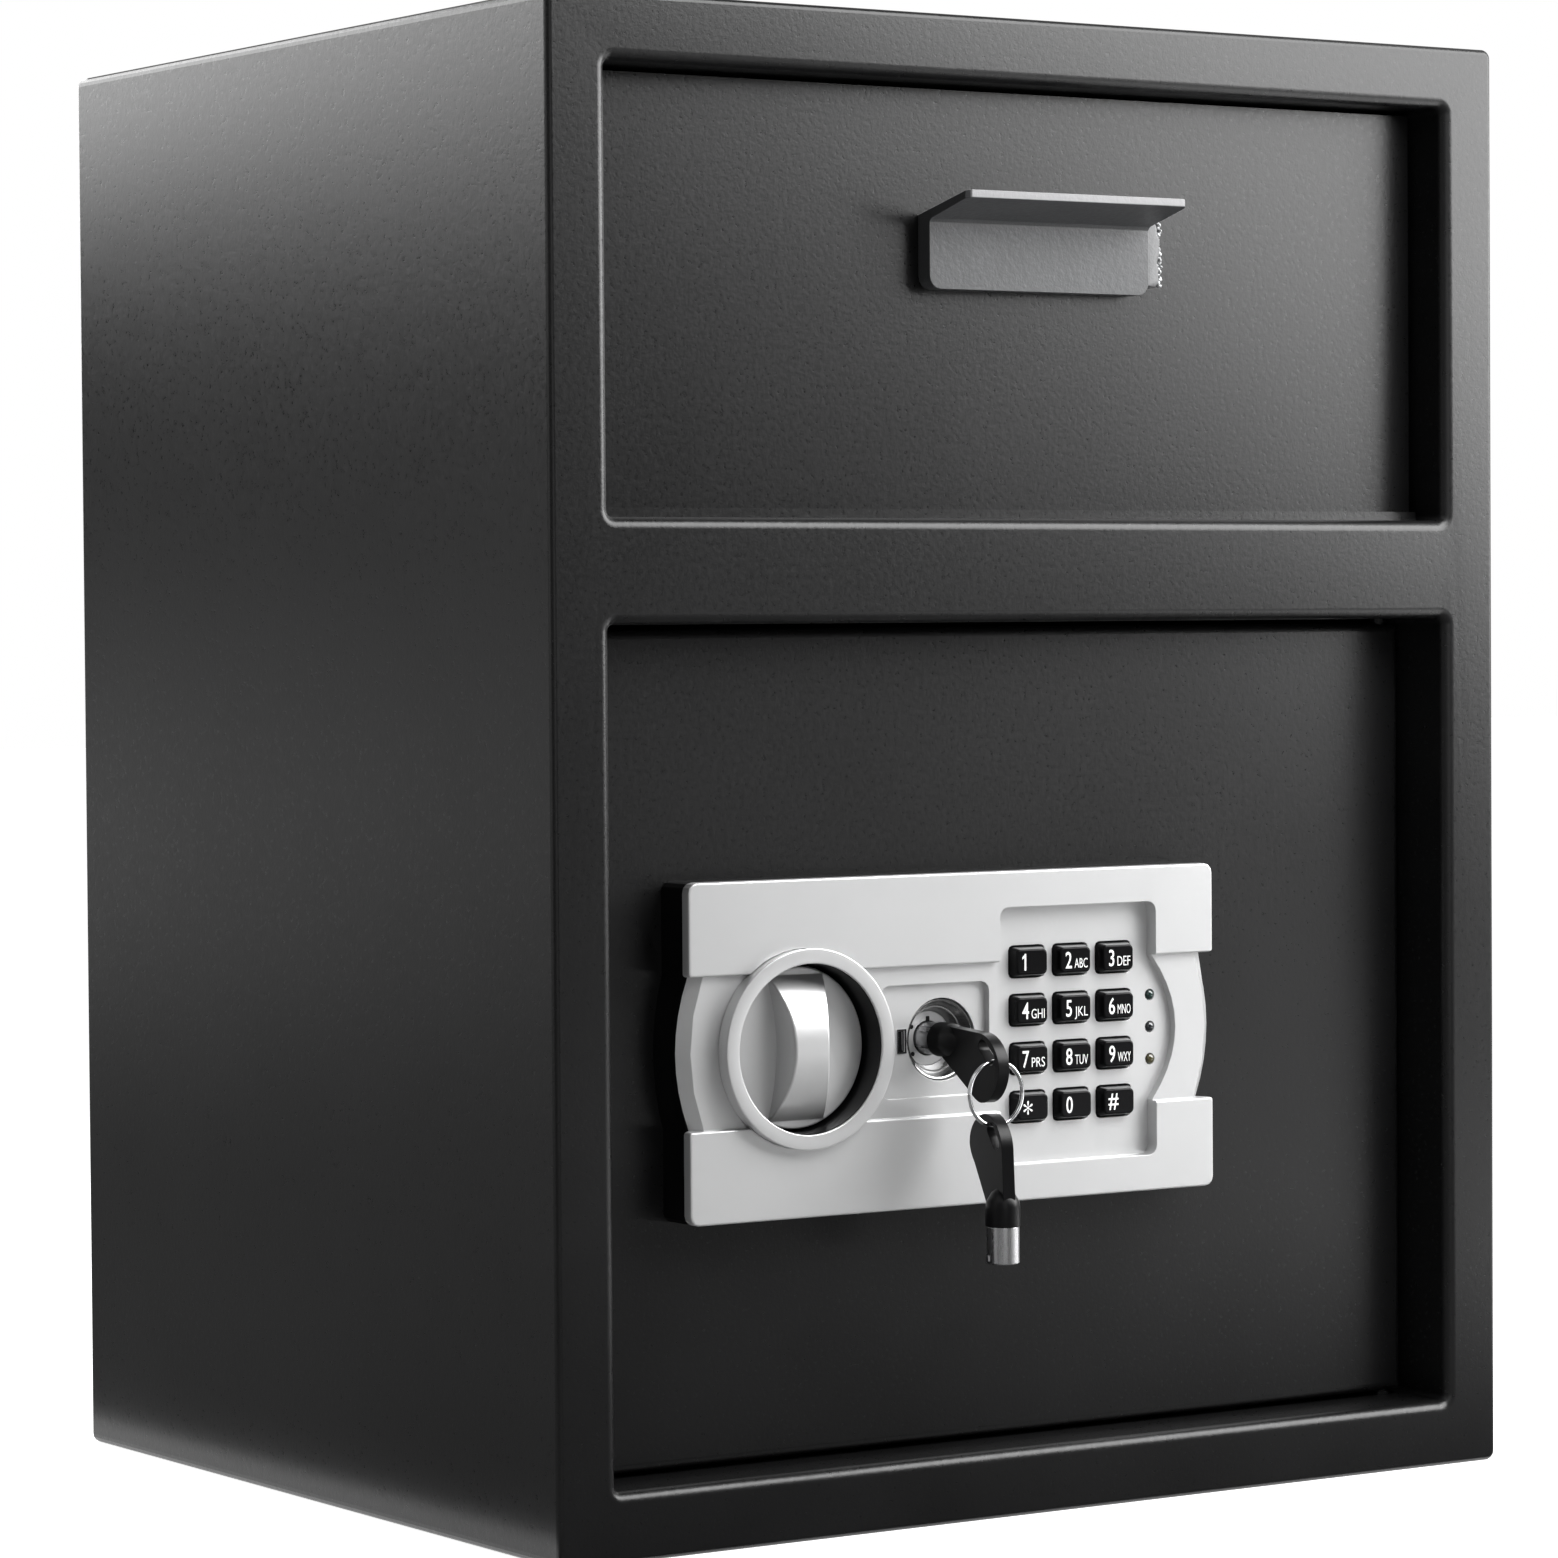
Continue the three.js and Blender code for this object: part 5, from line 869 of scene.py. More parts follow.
def weld_bead():
    weld_fillet()
    return place_on(weld_tree().grow("weld_bead"), "hopper", "weld_paint", "handle_weld_bead")


# Pieces of the lock


def move_arch(shape, depth, low, high, inward, deeper):
    """Moves the points of the band's arched ends that lie at one depth and between two reaches."""
    for point in shape.verts:
        across = point.co.x / MM - LOCK_X
        beside = abs(point.co.z / MM - LOCK_Z)
        reach = abs(across) - ARCH_BULGE * (1 - (beside / BAND_HALF) ** 2)
        at_depth = abs(point.co.y / MM - depth) < NEAR
        if at_depth and beside < BAND_HALF + 2 * NEAR and low < reach < high:
            point.co.x -= math.copysign(inward * MM, across)
            point.co.y += deeper * MM


def slope_fascia_ends(shape):
    """Cuts a wide slope into both arched ends of the silver band."""
    chamfer, out, band = 3.0, LOCK_HALF - 1.3, 0.2
    move_arch(shape, FASCIA_BACK, out - band, out + band, 1.6, 2.0)
    move_arch(shape, BAND_FACE, out - chamfer - band, out - chamfer + band, 1.9, 0.0)


def slope_base_ends(shape):
    """Leans the housing's arched ends inwards, so that they stay behind that slope."""
    lean = 5.5
    for point in shape.verts:
        across = point.co.x / MM - LOCK_X
        beside = abs(point.co.z / MM - LOCK_Z)
        at_front = abs(point.co.y / MM - FASCIA_BACK) < NEAR
        if at_front and abs(across) > LOCK_HALF - 2 * NEAR and beside < BAND_HALF + 2 * NEAR:
            point.co.x -= math.copysign(lean * MM, across)


def lock_housing():
    part = softened_copy("lock_base", "lock_housing", "black_plastic", 0.6 * MM, reshape=slope_base_ends)
    return place_on(part, "door", "black_plastic", "lock_base")


def lock_front():
    sizes = bpy.context.scene.safe_sizes
    part = softened_copy(
        "lock_fascia", "lock_front", "silver_plastic", sizes.fascia_round, reshape=slope_fascia_ends)
    return place_on(part, "door", "silver_plastic", "lock_fascia")


def bezel():
    """The ring round the knob and the sleeve behind it; the sleeve's black lines the ring's bore as painted
    shade on its inner wall.
    """
    ring = bezel_tree().grow("knob_bezel_ring")
    inner, outer = 25.0, 25.8
    front, back = BEZEL_FACE + 0.9, -136.0
    profile = [(inner, front), (outer, front), (outer, back), (inner, back), (inner, front)]
    # The sleeve's black plastic is painted shade: it darkens the inside of the bezel's bore.
    finished("knob_well", turned(profile, 96, KNOB_X, LOCK_Z), "black_plastic", "door", "black_plastic")
    return place_on(ring, "door", "silver_plastic", "knob_bezel")


def knob_disc():
    """The knob's disc, with a rounded rim, and its hub."""
    radius, rounding, hub = 24.2, 0.8, 10.0
    back, hub_end = KNOB_FACE + 3.0, DOOR_FACE - 0.3
    profile = [(0.9 * radius * i / 4, KNOB_FACE) for i in range(5)]
    for sine, cosine in quarter(6):
        profile.append((radius - rounding * (1 - sine), KNOB_FACE + rounding * (1 - cosine)))
    profile += [(radius, back), (hub, back), (hub, hub_end), (0.0, hub_end)]
    shape = turned(profile, 96, KNOB_X, LOCK_Z)
    return finished("knob_disc", shape, "silver_plastic", "knob", "silver_plastic", "knob")


def knob_grip():
    """The crowned grip: its flanks are hollowed, so it is narrow at the waist and wide at both ends."""
    half, rise, end, waist = 21.6, 9.8, 10.0, 6.6
    radius = (half * half + rise * rise) / (2 * rise)
    draft, edge, least, sunk = 0.06, 0.8, 0.15, 1.0
    rows = 40
    shell = Shell()
    rings = []
    for i in range(rows + 1):
        along = half * math.sin(math.pi * (i / rows - 0.5))
        height = max(rise - radius + math.sqrt(radius * radius - along * along), least)
        wide = waist + (end - waist) * (along / half) ** 2
        rounding = min(edge, 0.9 * height)
        straight = height - rounding
        side = [(wide - draft * straight - rounding * (1 - cosine), straight + rounding * sine)
                for sine, cosine in quarter(6)]
        outline = [(-wide, -sunk), (wide, -sunk), (wide, 0.0), *side]
        outline += [(-across, up) for across, up in reversed(side)] + [(-wide, 0.0)]
        first = len(shell.points)
        shell.points.extend((KNOB_X + across, KNOB_FACE - up, LOCK_Z + along) for across, up in outline)
        rings.append(range(first, len(shell.points)))
    for low, high in zip(rings, rings[1:]):
        shell.wall(low, high)
    shell.faces += [tuple(reversed(rings[0])), tuple(rings[-1])]
    shape = (shell.points, shell.faces)
    return finished("knob_grip", shape, "silver_plastic", "knob", "silver_plastic", angle=35.0)


def collar():
    """The lock cylinder's dished collar, in chrome darkened as painted shade, with a fine step half-way, and
    its pale face.
    """
    bore, face_radius, outer, barrel = 5.2, 8.2, 12.1, 9.5
    face, rim, step = CYLINDER_FACE, CYLINDER_PANEL_FACE, CYLINDER_FACE - 3.3
    floor, barrel_end = face + 0.4, -113.0
    profile = [(face_radius, floor), (face_radius, face - 0.1), (9.4, step + 0.2), (9.55, step), (9.9, step),
               (10.1, step - 0.2), (11.2, rim + 0.9), (11.5, rim + 0.55), (11.9, rim + 0.45),
               (outer, rim + 0.6), (outer, DOOR_FACE), (barrel, DOOR_FACE), (barrel, barrel_end),
               (bore, barrel_end), (bore, floor), (face_radius, floor)]
    shape = turned(profile, 96, CYLINDER_X, LOCK_Z)
    # The collar is chrome; its darkened finish is painted shade.
    finished("cylinder_collar", shape, "dark_chrome", "door", "chrome", "cylinder_body")
    profile = [(bore, face + 0.3), (5.4, face), (face_radius - 0.2, face), (face_radius, face + 0.2),
               (face_radius, face + 0.5), (bore, face + 0.5), (bore, face + 0.3)]
    shape = turned(profile, 64, CYLINDER_X, LOCK_Z)
    return finished("cylinder_face", shape, "silver_plastic", "door", "chrome")


def cylinder_marks():
    """Painted shade for the key's starting notch and two punch marks on the cylinder's face: flat black
    pieces stand in for the shade inside them.
    """
    front, back, mark = CYLINDER_FACE - 0.08, CYLINDER_FACE + 0.1, 0.7
    notch = (CYLINDER_X - 0.7, CYLINDER_X + 0.6, LOCK_Z + 4.6, LOCK_Z + 6.6)
    profile = [(0.0, front), (mark, front), (mark, back), (0.0, back)]
    parts = [slab(notch, 0.3, front, back)]
    parts += [turned(profile, 20, CYLINDER_X + x, LOCK_Z + z) for x, z in ((-6.0, 3.6), (-5.6, -4.6))]
    # The black plastic here is painted shade for the notch and the punch marks.
    return finished("cylinder_marks", together(parts), "black_plastic", "door", "chrome")


def window_rim():
    """The thin rim of the small window beside the cylinder, with its dark pane and pale stripe."""
    x0, _, z0, z1 = WINDOW
    front = CYLINDER_PANEL_FACE - 0.35
    rim = slab(grown(WINDOW, 0.5), 0.2, front, front + 1.2, WINDOW)
    pane = slab(grown(WINDOW, 0.05), 0.1, front + 0.7, front + 1.0)
    stripe = slab((x0 + 1.5, x0 + 1.9, z0 + 0.3, z1 - 0.3), 0.1, front + 0.6, front + 0.72)
    finished("window_rim", rim, "chrome", "door", "silver_plastic")
    finished("window_pane", pane, "black_plastic", "door", "black_plastic")
    return finished("window_stripe", stripe, "steel", "door", "silver_plastic")


def lens_domes():
    """Three small domes on a strip behind the fascia."""
    radius, half, foot = 1.5, 1.4, -134.4
    tip = KEYPAD_FLOOR - 0.8
    profile = [(radius * sine, tip + 0.9 * (1 - cosine)) for sine, cosine in quarter(6)]
    profile += [(radius, foot), (0.0, foot)]
    parts = [turned(profile, 24, LENS_X, LOCK_Z + row * LENS_PITCH) for row in (1, 0, -1)]
    bounds = (LENS_X - half, LENS_X + half, LOCK_Z - LENS_PITCH - half, LOCK_Z + LENS_PITCH + half)
    parts.append(slab(bounds, 0.6, foot - 0.6, foot + 0.6))
    return finished("status_lenses", together(parts), "lens", "door", "lens", "status_lights")


LEGENDS = [("1", ""), ("2", "ABC"), ("3", "DEF"), ("4", "GHI"), ("5", "JKL"), ("6", "MNO"),
           ("7", "PRS"), ("8", "TUV"), ("9", "WXY"), ("*", ""), ("0", ""), ("#", "")]
LETTERS_WIDTH = 4.9
LETTERS_SHARE = 0.58
LETTERS_BOLD = -0.06
# Share of the digits' height, squeeze, boldness, shift across and lift of a printed sign
DIGIT_LOOK = (1.0, 0.74, 0.06, -0.1, 0.0)
SIGN_LOOKS = {"*": (0.84, 0.9, 0.0, 0.6, 0.3), "#": (1.0, 0.9, 0.05, 0.3, 0.0)}
KEY_NAMES = ["1", "2", "3", "4", "5", "6", "7", "8", "9", "star", "0", "hash"]


def key_cap(x, z, name):
    """One key: a tapered block with a rounded face and a flange behind."""
    half_x, half_z, taper, edge, flange = 6.5, 4.7, 0.8, 0.55, 0.7
    bounds = (x - half_x, x + half_x, z - half_z, z + half_z)
    stations = []
    for sine, cosine in quarter(4):
        outline = rounded_outline(grown(bounds, -taper - edge * (1 - sine)), 1.5, 5)
        stations.append((outline, KEY_FACE + edge * (1 - cosine)))
    for by, depth in ((0.0, 0.0), (0.0, 1.8), (flange, 1.8), (flange, 2.5)):
        stations.append((rounded_outline(grown(bounds, by), 1.6, 5), KEYPAD_FLOOR + depth))
    shape = Shell().solid(stations)
    return finished(
        f"key_cap_{name}", shape, "key_plastic", f"button_{name}", "key_plastic", f"keypad_{name}")


def lettering(text, bold):
    """Flat letters in X and Z as points and faces, with their width and height."""
    curve = bpy.data.curves.new("lettering", "FONT")
    curve.body = text
    curve.size = 10.0
    curve.offset = bold
    curve.resolution_u = 3
    holder = linked("lettering", curve)
    seen = holder.evaluated_get(bpy.context.evaluated_depsgraph_get())
    mesh = bpy.data.meshes.new_from_object(seen)
    points = [(v.co.x, v.co.y) for v in mesh.vertices]
    faces = [tuple(p.vertices) for p in mesh.polygons]
    bpy.data.objects.remove(holder)
    bpy.data.curves.remove(curve)
    bpy.data.meshes.remove(mesh)
    left = min(x for x, _ in points)
    low = min(y for _, y in points) if text in "*#" else 0.0
    points = [(x - left, y - low) for x, y in points]
    return points, faces, max(x for x, _ in points), max(y for _, y in points)


def key_legend(x, z, digit, letters, name):
    """The printed digit, and the small letters at its right, on one key."""
    tall = bpy.context.scene.safe_sizes.legend_height / MM
    face, foot, middle = KEY_FACE - 0.03, z - 2.5, x - 2.6
    share, squeeze, bold, shift, lift = SIGN_LOOKS.get(digit, DIGIT_LOOK)
    jobs = [(digit, share * tall, squeeze, bold, middle + shift, foot + lift)]
    if letters:
        jobs.append((letters, LETTERS_SHARE * tall, None, LETTERS_BOLD, x + 1.95, foot))
    points, faces = [], []
    for text, height, squeeze, bold, centre, base in jobs:
        flat, polygons, drawn_width, drawn_height = lettering(text, bold)
        grow = height / drawn_height
        squeeze = squeeze or LETTERS_WIDTH / (grow * drawn_width)
        first = len(points)
        for px, py in flat:
            points.append((centre + (px - drawn_width / 2) * grow * squeeze, face, base + py * grow))
        faces += [tuple(i + first for i in polygon) for polygon in polygons]
    if digit == "1":
        flag = [(-1.2, 0.66), (-1.2, 0.8), (-0.2, 1.0), (-0.2, 0.82)]
        faces.append(tuple(range(len(points), len(points) + len(flag))))
        points += [(middle + across, face, foot + up * tall) for across, up in flag]
    part = to_object(f"legend_{name}", points, faces, "legend")
    print_coat = part.modifiers.new("print", "SOLIDIFY")
    print_coat.thickness = 0.06 * MM
    print_coat.offset = 0.0
    return place_on(bake_modifiers(part), f"button_{name}", "key_plastic")


def keypad():
    for i, (digit, letters) in enumerate(LEGENDS):
        x = KEYPAD_X + (i % 3 - 1) * KEY_PITCH_X
        z = LOCK_Z + (1.5 - i // 3) * KEY_PITCH_Z
        key_cap(x, z, KEY_NAMES[i])
        key_legend(x, z, digit, letters, KEY_NAMES[i])


# Keys


def bow_outline(steps=8):
    """The paddle's outline as (b, a) pairs, fuller on one side."""
    start, end = 14.0, KEY_LENGTH
    crown, bulge = -7.0, -17.4
    shoulder = (bulge + 2.9, end - 14.8)
    curves = [
        ((3.3, end - 9.8), (3.0, end - 5.3), (crown + 5.5, end), (crown, end)),
        ((crown, end), (crown - 5.0, end), (bulge - 0.2, end - 4.3), (bulge, end - 9.3)),
        ((bulge, end - 9.3), (bulge + 0.2, end - 11.8), (bulge + 1.9, end - 13.6), shoulder),
    ]
    points = [(4.6, start)]
    for curve in curves:
        for i in range(steps):
            t = i / steps
            weights = ((1 - t) ** 3, 3 * t * (1 - t) ** 2, 3 * t * t * (1 - t), t ** 3)
            points.append(tuple(sum(w * p[k] for w, p in zip(weights, curve)) for k in (0, 1)))
    return [*points, shoulder, (-4.6, start)]


def slot_outline(steps=8):
    near, far, radius = Vector((-0.5, KEY_LENGTH - 8.3)), Vector((-4.0, KEY_LENGTH - 4.3)), 2.0
    lean = math.atan2(far.y - near.y, far.x - near.x)
    points = []
    for centre, start in ((far, lean - math.pi / 2), (near, lean + math.pi / 2)):
        for i in range(steps + 1):
            angle = start + math.pi * i / steps
            points.append((centre.x + radius * math.cos(angle), centre.y + radius * math.sin(angle)))
    return points


def paddle(place, name, body, node):
    """The key's plastic bow: a slotted paddle with rounded rims and a round neck."""
    half = 2.0
    shell = Shell()
    rims = []
    for side in (-half, half):
        rims.append((shell.ring(bow_outline(), side), shell.ring(slot_outline(), side)))
        shell.cap(*rims[-1])
    for low, high in zip(*rims):
        shell.wall(low, high)
    swap = from_axes((1, 0, 0), (0, 0, 1), (0, 1, 0), (0, 0, 0))
    part = to_object(f"{name}_paddle", shell.points, shell.faces, "black_plastic", place @ swap)
    place_on(settle(part, 0.75 * MM, 4, 35.0), body, "black_plastic", node)
    profile = [(3.6, 11.0), (5.0, 11.0), (5.2, 11.3), (5.2, 16.5), (4.9, 18.5), (3.4, 21.0), (1.5, 22.5),
               (0.0, 22.8), (0.0, 18.6), (3.6, 18.5), (3.6, 11.0)]
    return finished(f"{name}_neck", turned(profile, 48), "black_plastic", body, "black_plastic", place=place)


def tube(place, name, body, node):
    """The key's metal tube, with a nib near its tip."""
    profile = [(3.4, 0.2), (3.6, 0.0), (4.6, 0.0), (4.9, 0.3), (4.9, 10.7), (4.7, 11.0), (3.3, 11.0),
               (3.3, 17.5), (0.0, 17.5), (0.0, 10.0), (3.4, 10.0), (3.4, 0.2)]
    nib = [(-0.8, 0.9), (0.8, 0.9), (0.8, 2.6), (-0.8, 2.6)]
    corners = [(x, y, 4.7) for x, y in nib] + [(x * 0.8, y, 5.3) for x, y in nib]
    quads = [(0, 1, 2, 3), (4, 7, 6, 5), (0, 4, 5, 1), (1, 5, 6, 2), (2, 6, 7, 3), (3, 7, 4, 0)]
    shape = together([turned(profile, 48), (corners, quads)])
    return finished(name, shape, "steel", body, "steel", node, place=place)


def key_place(across, along, tip):
    """The matrix from a key's own axes (b, a, thickness) to the safe's."""
    b, a = Vector(across), Vector(along)
    return from_axes(b, a, b.cross(a), tip)


def keys():
    turn = math.radians(SPARE_TURN)
    inserted = key_place((0, 0, 1), (0, -1, 0), (CYLINDER_X, KEY_TIP, LOCK_Z))
    spare = key_place((-math.sin(turn), -math.cos(turn), 0), (0, 0, 1), SPARE_TIP)
    paddle(inserted, "inserted_key", "inserted_key", "key_bow")
    tube(inserted, "inserted_key_tube", "inserted_key", "key_tube")
    paddle(spare, "spare_key", "spare_key", "spare_key_bow")
    tube(spare, "spare_key_shank", "spare_key", "spare_key_tube")
    place_on(ring_tree().grow("wire_ring"), "ring", "chrome", "key_ring")


# Pieces behind the door


def screw_head():
    """A pan head with a cross recess, about the Y axis."""
    top, radius, shank = 2.2, 3.6, 2.0
    profile = [(0.0, top), (1.2, 2.15), (2.6, 1.8), (3.4, 1.0), (radius, 0.3), (radius, 0.0), (shank, 0.0),
               (shank, -1.5), (0.0, -1.5)]
    head = to_object("screw_pattern", *turned(profile, 32), "zinc")
    shape = bmesh.new()
    for size in ((3.4, 2.4, 0.8), (0.8, 2.4, 3.4)):
        scaled = Matrix.Diagonal((*[side * MM for side in size], 1.0))
        bmesh.ops.create_cube(shape, size=1.0, matrix=Matrix.Translation((0.0, top * MM, 0.0)) @ scaled)
    mesh = bpy.data.meshes.new("cross")
    shape.to_mesh(mesh)
    shape.free()
    cross = linked("cross", mesh)
    cut = head.modifiers.new("cut", "BOOLEAN")
    cut.object = cross
    cut.operation = "DIFFERENCE"
    cut.solver = "EXACT"
    cut.use_self = True
    bake_modifiers(head)
    bpy.data.objects.remove(cross)
    return head


def cover_screws():
    """The four screws of the inner cover, from one pattern."""
    head = screw_head()
    names = [f"cover_screw_{i}" for i in (1, 2, 3, 4)]
    spots = []
    for name in names:
        low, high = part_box(name)
        middle = (low + high) / 2
        spots.append((middle.x, low.y + 1.5 * MM, middle.z))
    mesh = bpy.data.meshes.new("screw_spots")
    mesh.from_pydata(spots, [], [])
    part = screw_tree(head).grow("cover_screw_set", mesh)
    bpy.data.objects.remove(head)
    return place_on(part, "door", "zinc", *names)


def inner_cover():
    part = softened_copy("lock_cover", "inner_cover", "black_powder", 0.45 * MM, 2)
    place_on(part, "door", "black_powder", "lock_cover")
    lid = softened_copy("battery_lid", "battery_door", "black_plastic", 0.3 * MM, 2)
    return place_on(lid, "battery_lid", "black_plastic", "battery_lid")


def dress_nodes():
    """Gives each CAD node that stays its finish."""
    for row in frame["record"]["subparts"]:
        node = frame["nodes"][row["node"]]
        finish = "hopper_powder" if row["node"] == "hopper_door" else row["material_slot"]
        node.data.materials.clear()
        node.data.materials.append(FINISHES[finish])


# Stage


def stage_material():
    """Pale paper, lifted to white for the camera and in reflections, with the shadow kept."""
    material, tree, shader = new_material("pale_floor")
    set_inputs(shader, Base_Color=(0.8, 0.8, 0.8, 1.0), Roughness=0.9, Specular_IOR_Level=0.1,
               Emission_Color=WHITE)
    feed(tree, shader, "Emission Strength", spread(tree, seen_rays(tree), 0.0, 1.0, 0.0, 0.9))
    return material


def seen_rays(tree):
    """One for camera, glossy and transmission rays, and nought for the rest."""
    path = tree.nodes.new("ShaderNodeLightPath").outputs
    seen = maths(tree, "MAXIMUM", path["Is Camera Ray"], path["Is Glossy Ray"])
    return maths(tree, "MAXIMUM", seen, path["Is Transmission Ray"])


def stage_plane(name, wide, high, material):
    """A flat piece of the stage, about its own middle, from its half width and half height."""
    mesh = bpy.data.meshes.new(name)
    corners = [(-wide, -high, 0), (wide, -high, 0), (wide, high, 0), (-wide, high, 0)]
    mesh.from_pydata(corners, [], [(0, 1, 2, 3)])
    mesh.materials.append(material)
    plane = linked(name, mesh)
    return plane


def lay_floor():
    stage_plane("floor", FLOOR_HALF, FLOOR_HALF, stage_material())


def turn_to(place, aim):
    """The turn that points a lamp or a card at its aim."""
    return (Vector(aim) - Vector(place)).to_track_quat("-Z", "Y")


def softbox(name, place, aim, size, roll, power):
    light = bpy.data.lights.new(name, "AREA")
    light.shape = "RECTANGLE"
    light.size, light.size_y = size
    light.energy = power
    lamp = linked(name, light)
    lamp.location = place
    rolled = turn_to(place, aim).to_matrix() @ Matrix.Rotation(math.radians(roll), 3, "Z")
    lamp.rotation_euler = rolled.to_euler()
    lamp.visible_camera = False


def dark_card(name, place, aim, size, grey):
    """A card that only reflections see, as a studio keeps a gloss dark beside its lamps."""
    material, _, shader = new_material(name)
    set_inputs(shader, Base_Color=(grey, grey, grey, 1.0), Specular_IOR_Level=0.0, Roughness=1.0)
    card = stage_plane(name, size[0] / 2, size[1] / 2, material)
    card.location = place
    card.rotation_euler = turn_to(place, aim).to_euler()
    card.visible_camera = card.visible_diffuse = card.visible_transmission = card.visible_shadow = False


def roof_flag():
    """A flag close above the roof: it keeps the lamps' own mirror images off that gloss."""
    inset = 1.0
    material, tree, shader = new_material("roof_flag")
    set_inputs(shader, Base_Color=BLACK, Specular_IOR_Level=0.0, Emission_Color=WHITE)
    glossy = tree.nodes.new("ShaderNodeLightPath").outputs["Is Glossy Ray"]
    feed(tree, shader, "Emission Strength", spread(tree, glossy, 0.0, 1.0, 0.0, 0.45))
    flag = stage_plane("roof_flag", (HALF_WIDTH - inset) * MM, -(FRONT + inset) * MM, material)
    flag.location.z = (HEIGHT + inset) * MM
    flag.visible_camera = flag.visible_transmission = False


def set_world():
    world = bpy.data.worlds.new("studio")
    world.use_nodes = True
    tree = world.node_tree
    background = tree.nodes["Background"]
    shade = mix_colour(tree, seen_rays(tree), (0.16, 0.16, 0.16), (1.0, 1.0, 1.0))
    tree.links.new(shade, background.inputs["Color"])
    bpy.context.scene.world = world


def set_camera():
    yaw, pitch, roll = (math.radians(angle) for angle in CAMERA_TURN)
    turn = Matrix.Rotation(roll, 3, "Y") @ Matrix.Rotation(pitch, 3, "X") @ Matrix.Rotation(yaw, 3, "Z")
    right, forward, up = turn
    camera = bpy.data.cameras.new("camera")
    camera.lens = LENS
    camera.sensor_width = SENSOR
    camera.sensor_fit = "HORIZONTAL"
    camera.clip_start = 0.05
    holder = linked("camera", camera)
    holder.matrix_world = from_axes(right, up, -forward, CAMERA_PLACE)
    bpy.context.scene.camera = holder


def light_stage():
    softbox("front_right", (0.472, -0.515, 0.587), (0.1, -0.15, 0.196), (0.47, 0.97), 43, 16.5)
    softbox("back_left", (-0.49, 0.69, 0.736), (-0.175, 0.0, 0.422), (1.31, 0.51), 12, 12.3)
    dark_card("card_front", (1.25, -1.9, 0.7), (0.0, -0.15, 0.3), (3.6, 2.8), 0.0)
    dark_card("card_left", (-1.3, 1.9, 1.25), (-0.175, 0.0, 0.3), (3.0, 2.2), 0.0)
    dark_card("card_left_front", (-1.9, -1.3, 0.5), (-0.1, -0.15, 0.3), (2.2, 2.2), 0.7)
    dark_card("card_above", (0.0, -0.2, 2.4), (0.0, -0.21, 0.0), (3.0, 3.0), 0.0)
    dark_card("card_front_floor", (-0.35, -1.25, 0.003), (-0.35, -1.24, 5.0), (1.5, 2.2), 0.13)
    dark_card("card_left_floor", (-1.19, 0.6, 0.003), (-1.19, 0.61, 5.0), (2.0, 3.6), 0.21)
    roof_flag()
    bpy.context.scene.view_settings.view_transform = "Standard"


# Operators


class SAFE_OT_stage(bpy.types.Operator):
    """Lay the floor, light it and set the camera"""

    bl_idname = "safe.stage"
    bl_label = "Stage"

    def execute(self, context):
        lay_floor()
        set_world()
        set_camera()
        light_stage()
        return {"FINISHED"}


class SAFE_OT_finishes(bpy.types.Operator):
    """Mix the finishes and give them to the CAD nodes"""

    bl_idname = "safe.finishes"
    bl_label = "Finishes"

    def execute(self, context):
        FINISHES.update(make_finishes())
        dress_nodes()
        return {"FINISHED"}


class SAFE_OT_front_frame(bpy.types.Operator):
    """Press the front frame with its two recesses"""

    bl_idname = "safe.front_frame"
    bl_label = "Front Frame"

    def execute(self, context):
        frame_pressing()
        rolled_panel()
        sill_strip()
        return {"FINISHED"}


class SAFE_OT_handle(bpy.types.Operator):
    """Make the pull handle and its weld bead"""

    bl_idname = "safe.handle"
    bl_label = "Pull Handle"

    def execute(self, context):
        pull_handle()
        weld_bead()
        return {"FINISHED"}


class SAFE_OT_lock(bpy.types.Operator):
    """Make the lock's housing, front, cylinder collar and lenses"""

    bl_idname = "safe.lock"
    bl_label = "Lock"

    def execute(self, context):
        lock_housing()
        lock_front()
        collar()
        cylinder_marks()
        window_rim()
        lens_domes()
        return {"FINISHED"}


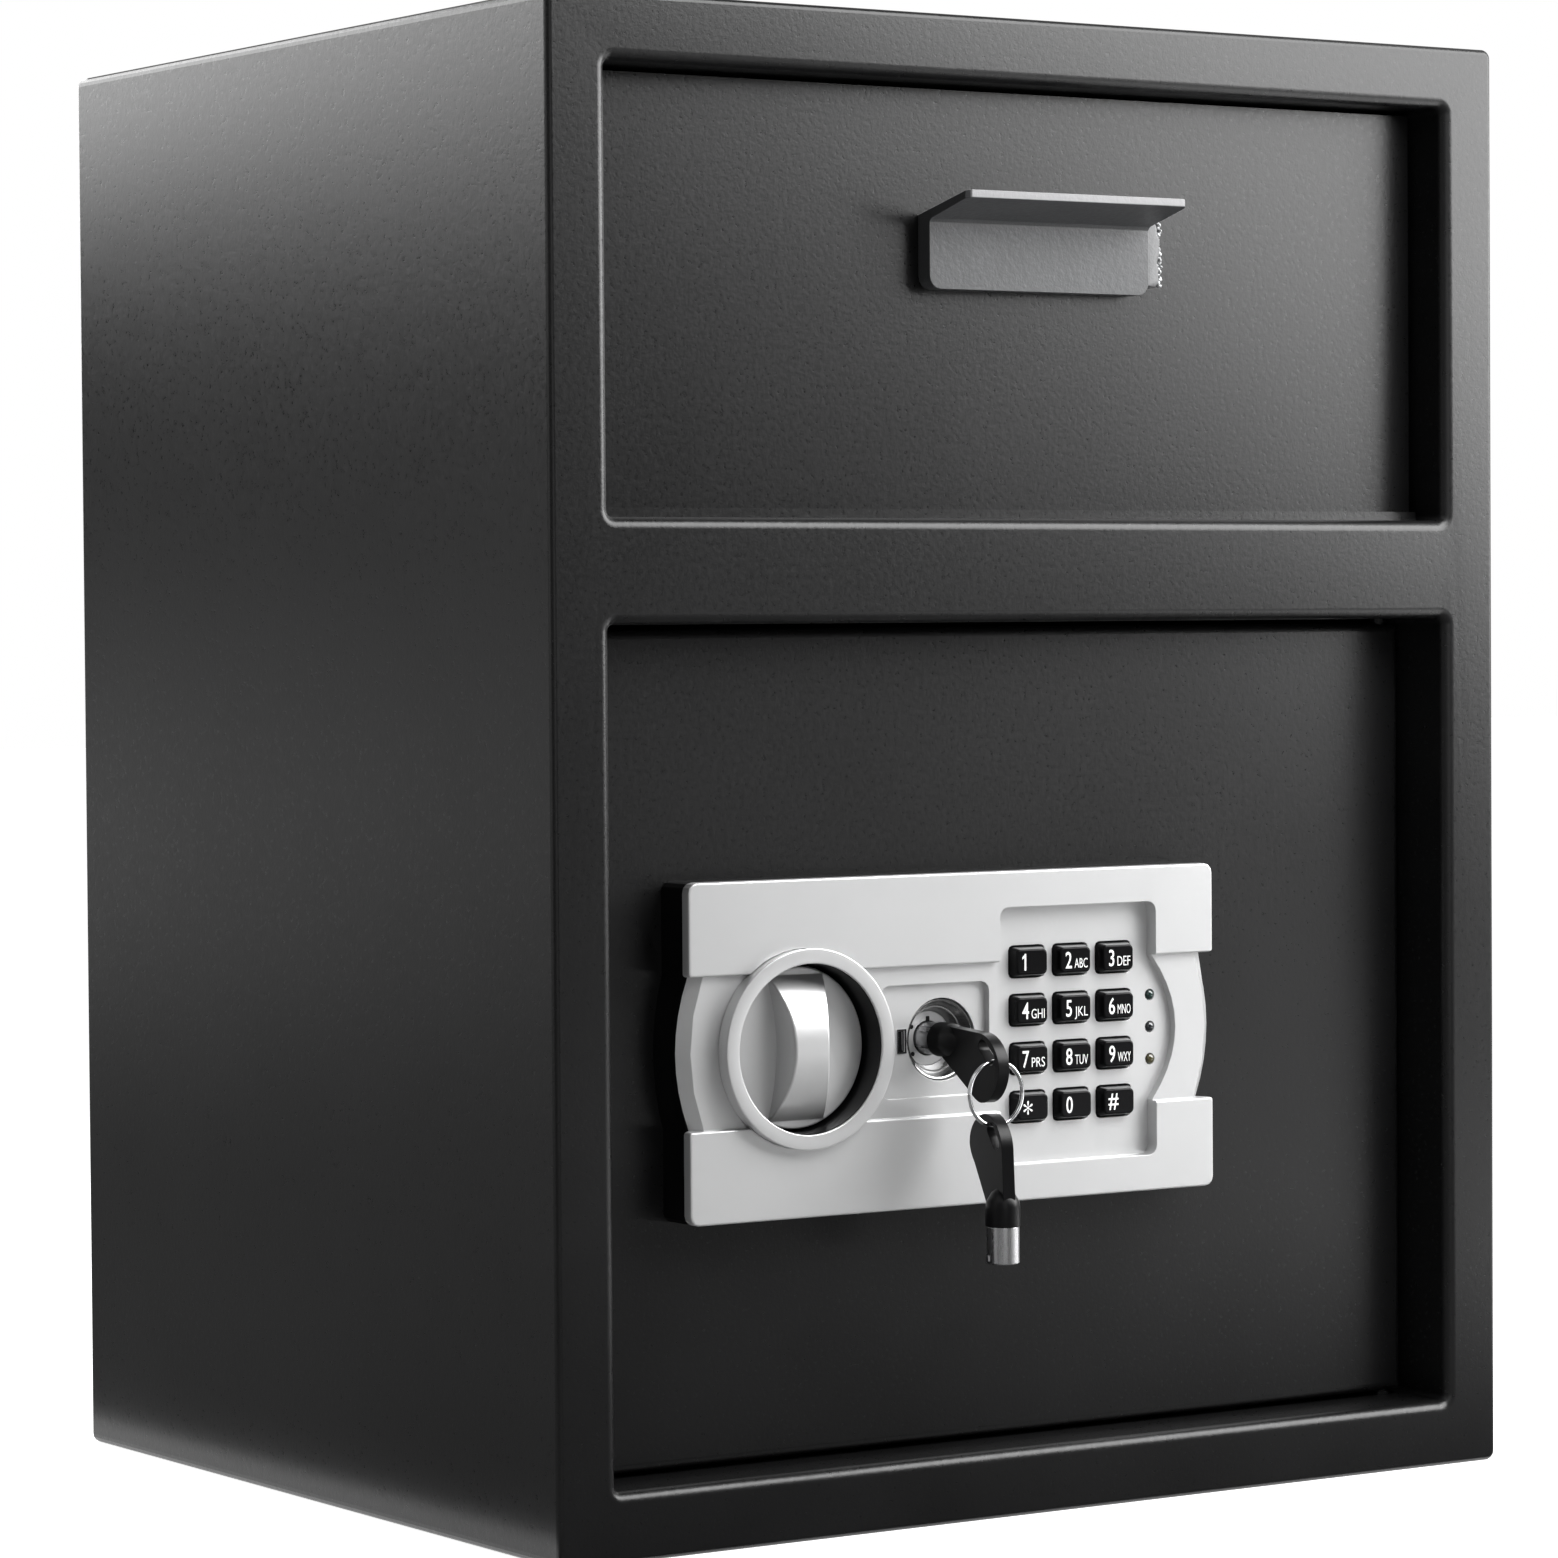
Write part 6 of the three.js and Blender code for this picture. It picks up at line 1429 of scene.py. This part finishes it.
class SAFE_OT_knob(bpy.types.Operator):
    """Make the knob and the bezel round it"""

    bl_idname = "safe.knob"
    bl_label = "Knob"

    def execute(self, context):
        bezel()
        knob_disc()
        knob_grip()
        return {"FINISHED"}


class SAFE_OT_keypad(bpy.types.Operator):
    """Make the twelve keys and their legends"""

    bl_idname = "safe.keypad"
    bl_label = "Keypad"

    def execute(self, context):
        keypad()
        return {"FINISHED"}


class SAFE_OT_keys(bpy.types.Operator):
    """Make the inserted key, the ring and the spare key"""

    bl_idname = "safe.keys"
    bl_label = "Keys"

    def execute(self, context):
        keys()
        return {"FINISHED"}


class SAFE_OT_inside(bpy.types.Operator):
    """Make the inner cover, its battery door and its screws"""

    bl_idname = "safe.inside"
    bl_label = "Inner Cover"

    def execute(self, context):
        inner_cover()
        cover_screws()
        return {"FINISHED"}


OPERATORS = (SAFE_OT_stage, SAFE_OT_finishes, SAFE_OT_front_frame, SAFE_OT_handle, SAFE_OT_lock,
             SAFE_OT_knob, SAFE_OT_keypad, SAFE_OT_keys, SAFE_OT_inside)


class SAFE_PT_panel(bpy.types.Panel):
    """Sizes, colours and pieces of the safe"""

    bl_idname = "SAFE_PT_panel"
    bl_label = "Deposit Safe"
    bl_space_type = "VIEW_3D"
    bl_region_type = "UI"
    bl_category = "Deposit Safe"

    def draw(self, context):
        column = self.layout.column()
        for settings in (context.scene.safe_sizes, context.scene.safe_colours):
            for name in settings.__annotations__:
                column.prop(settings, name)
        for operator in OPERATORS:
            column.operator(operator.bl_idname)


CLASSES = (SafeSizes, SafeColours, *OPERATORS, SAFE_PT_panel)


def register():
    for kind in CLASSES:
        bpy.utils.register_class(kind)
    bpy.types.Scene.safe_sizes = PointerProperty(type=SafeSizes)
    bpy.types.Scene.safe_colours = PointerProperty(type=SafeColours)


def unregister():
    del bpy.types.Scene.safe_colours
    del bpy.types.Scene.safe_sizes
    for kind in reversed(CLASSES):
        bpy.utils.unregister_class(kind)


def main():
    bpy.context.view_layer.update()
    register()
    for operator in OPERATORS:
        group, action = operator.bl_idname.split(".")
        getattr(getattr(bpy.ops, group), action)()


if __name__ == "__main__":
    main()
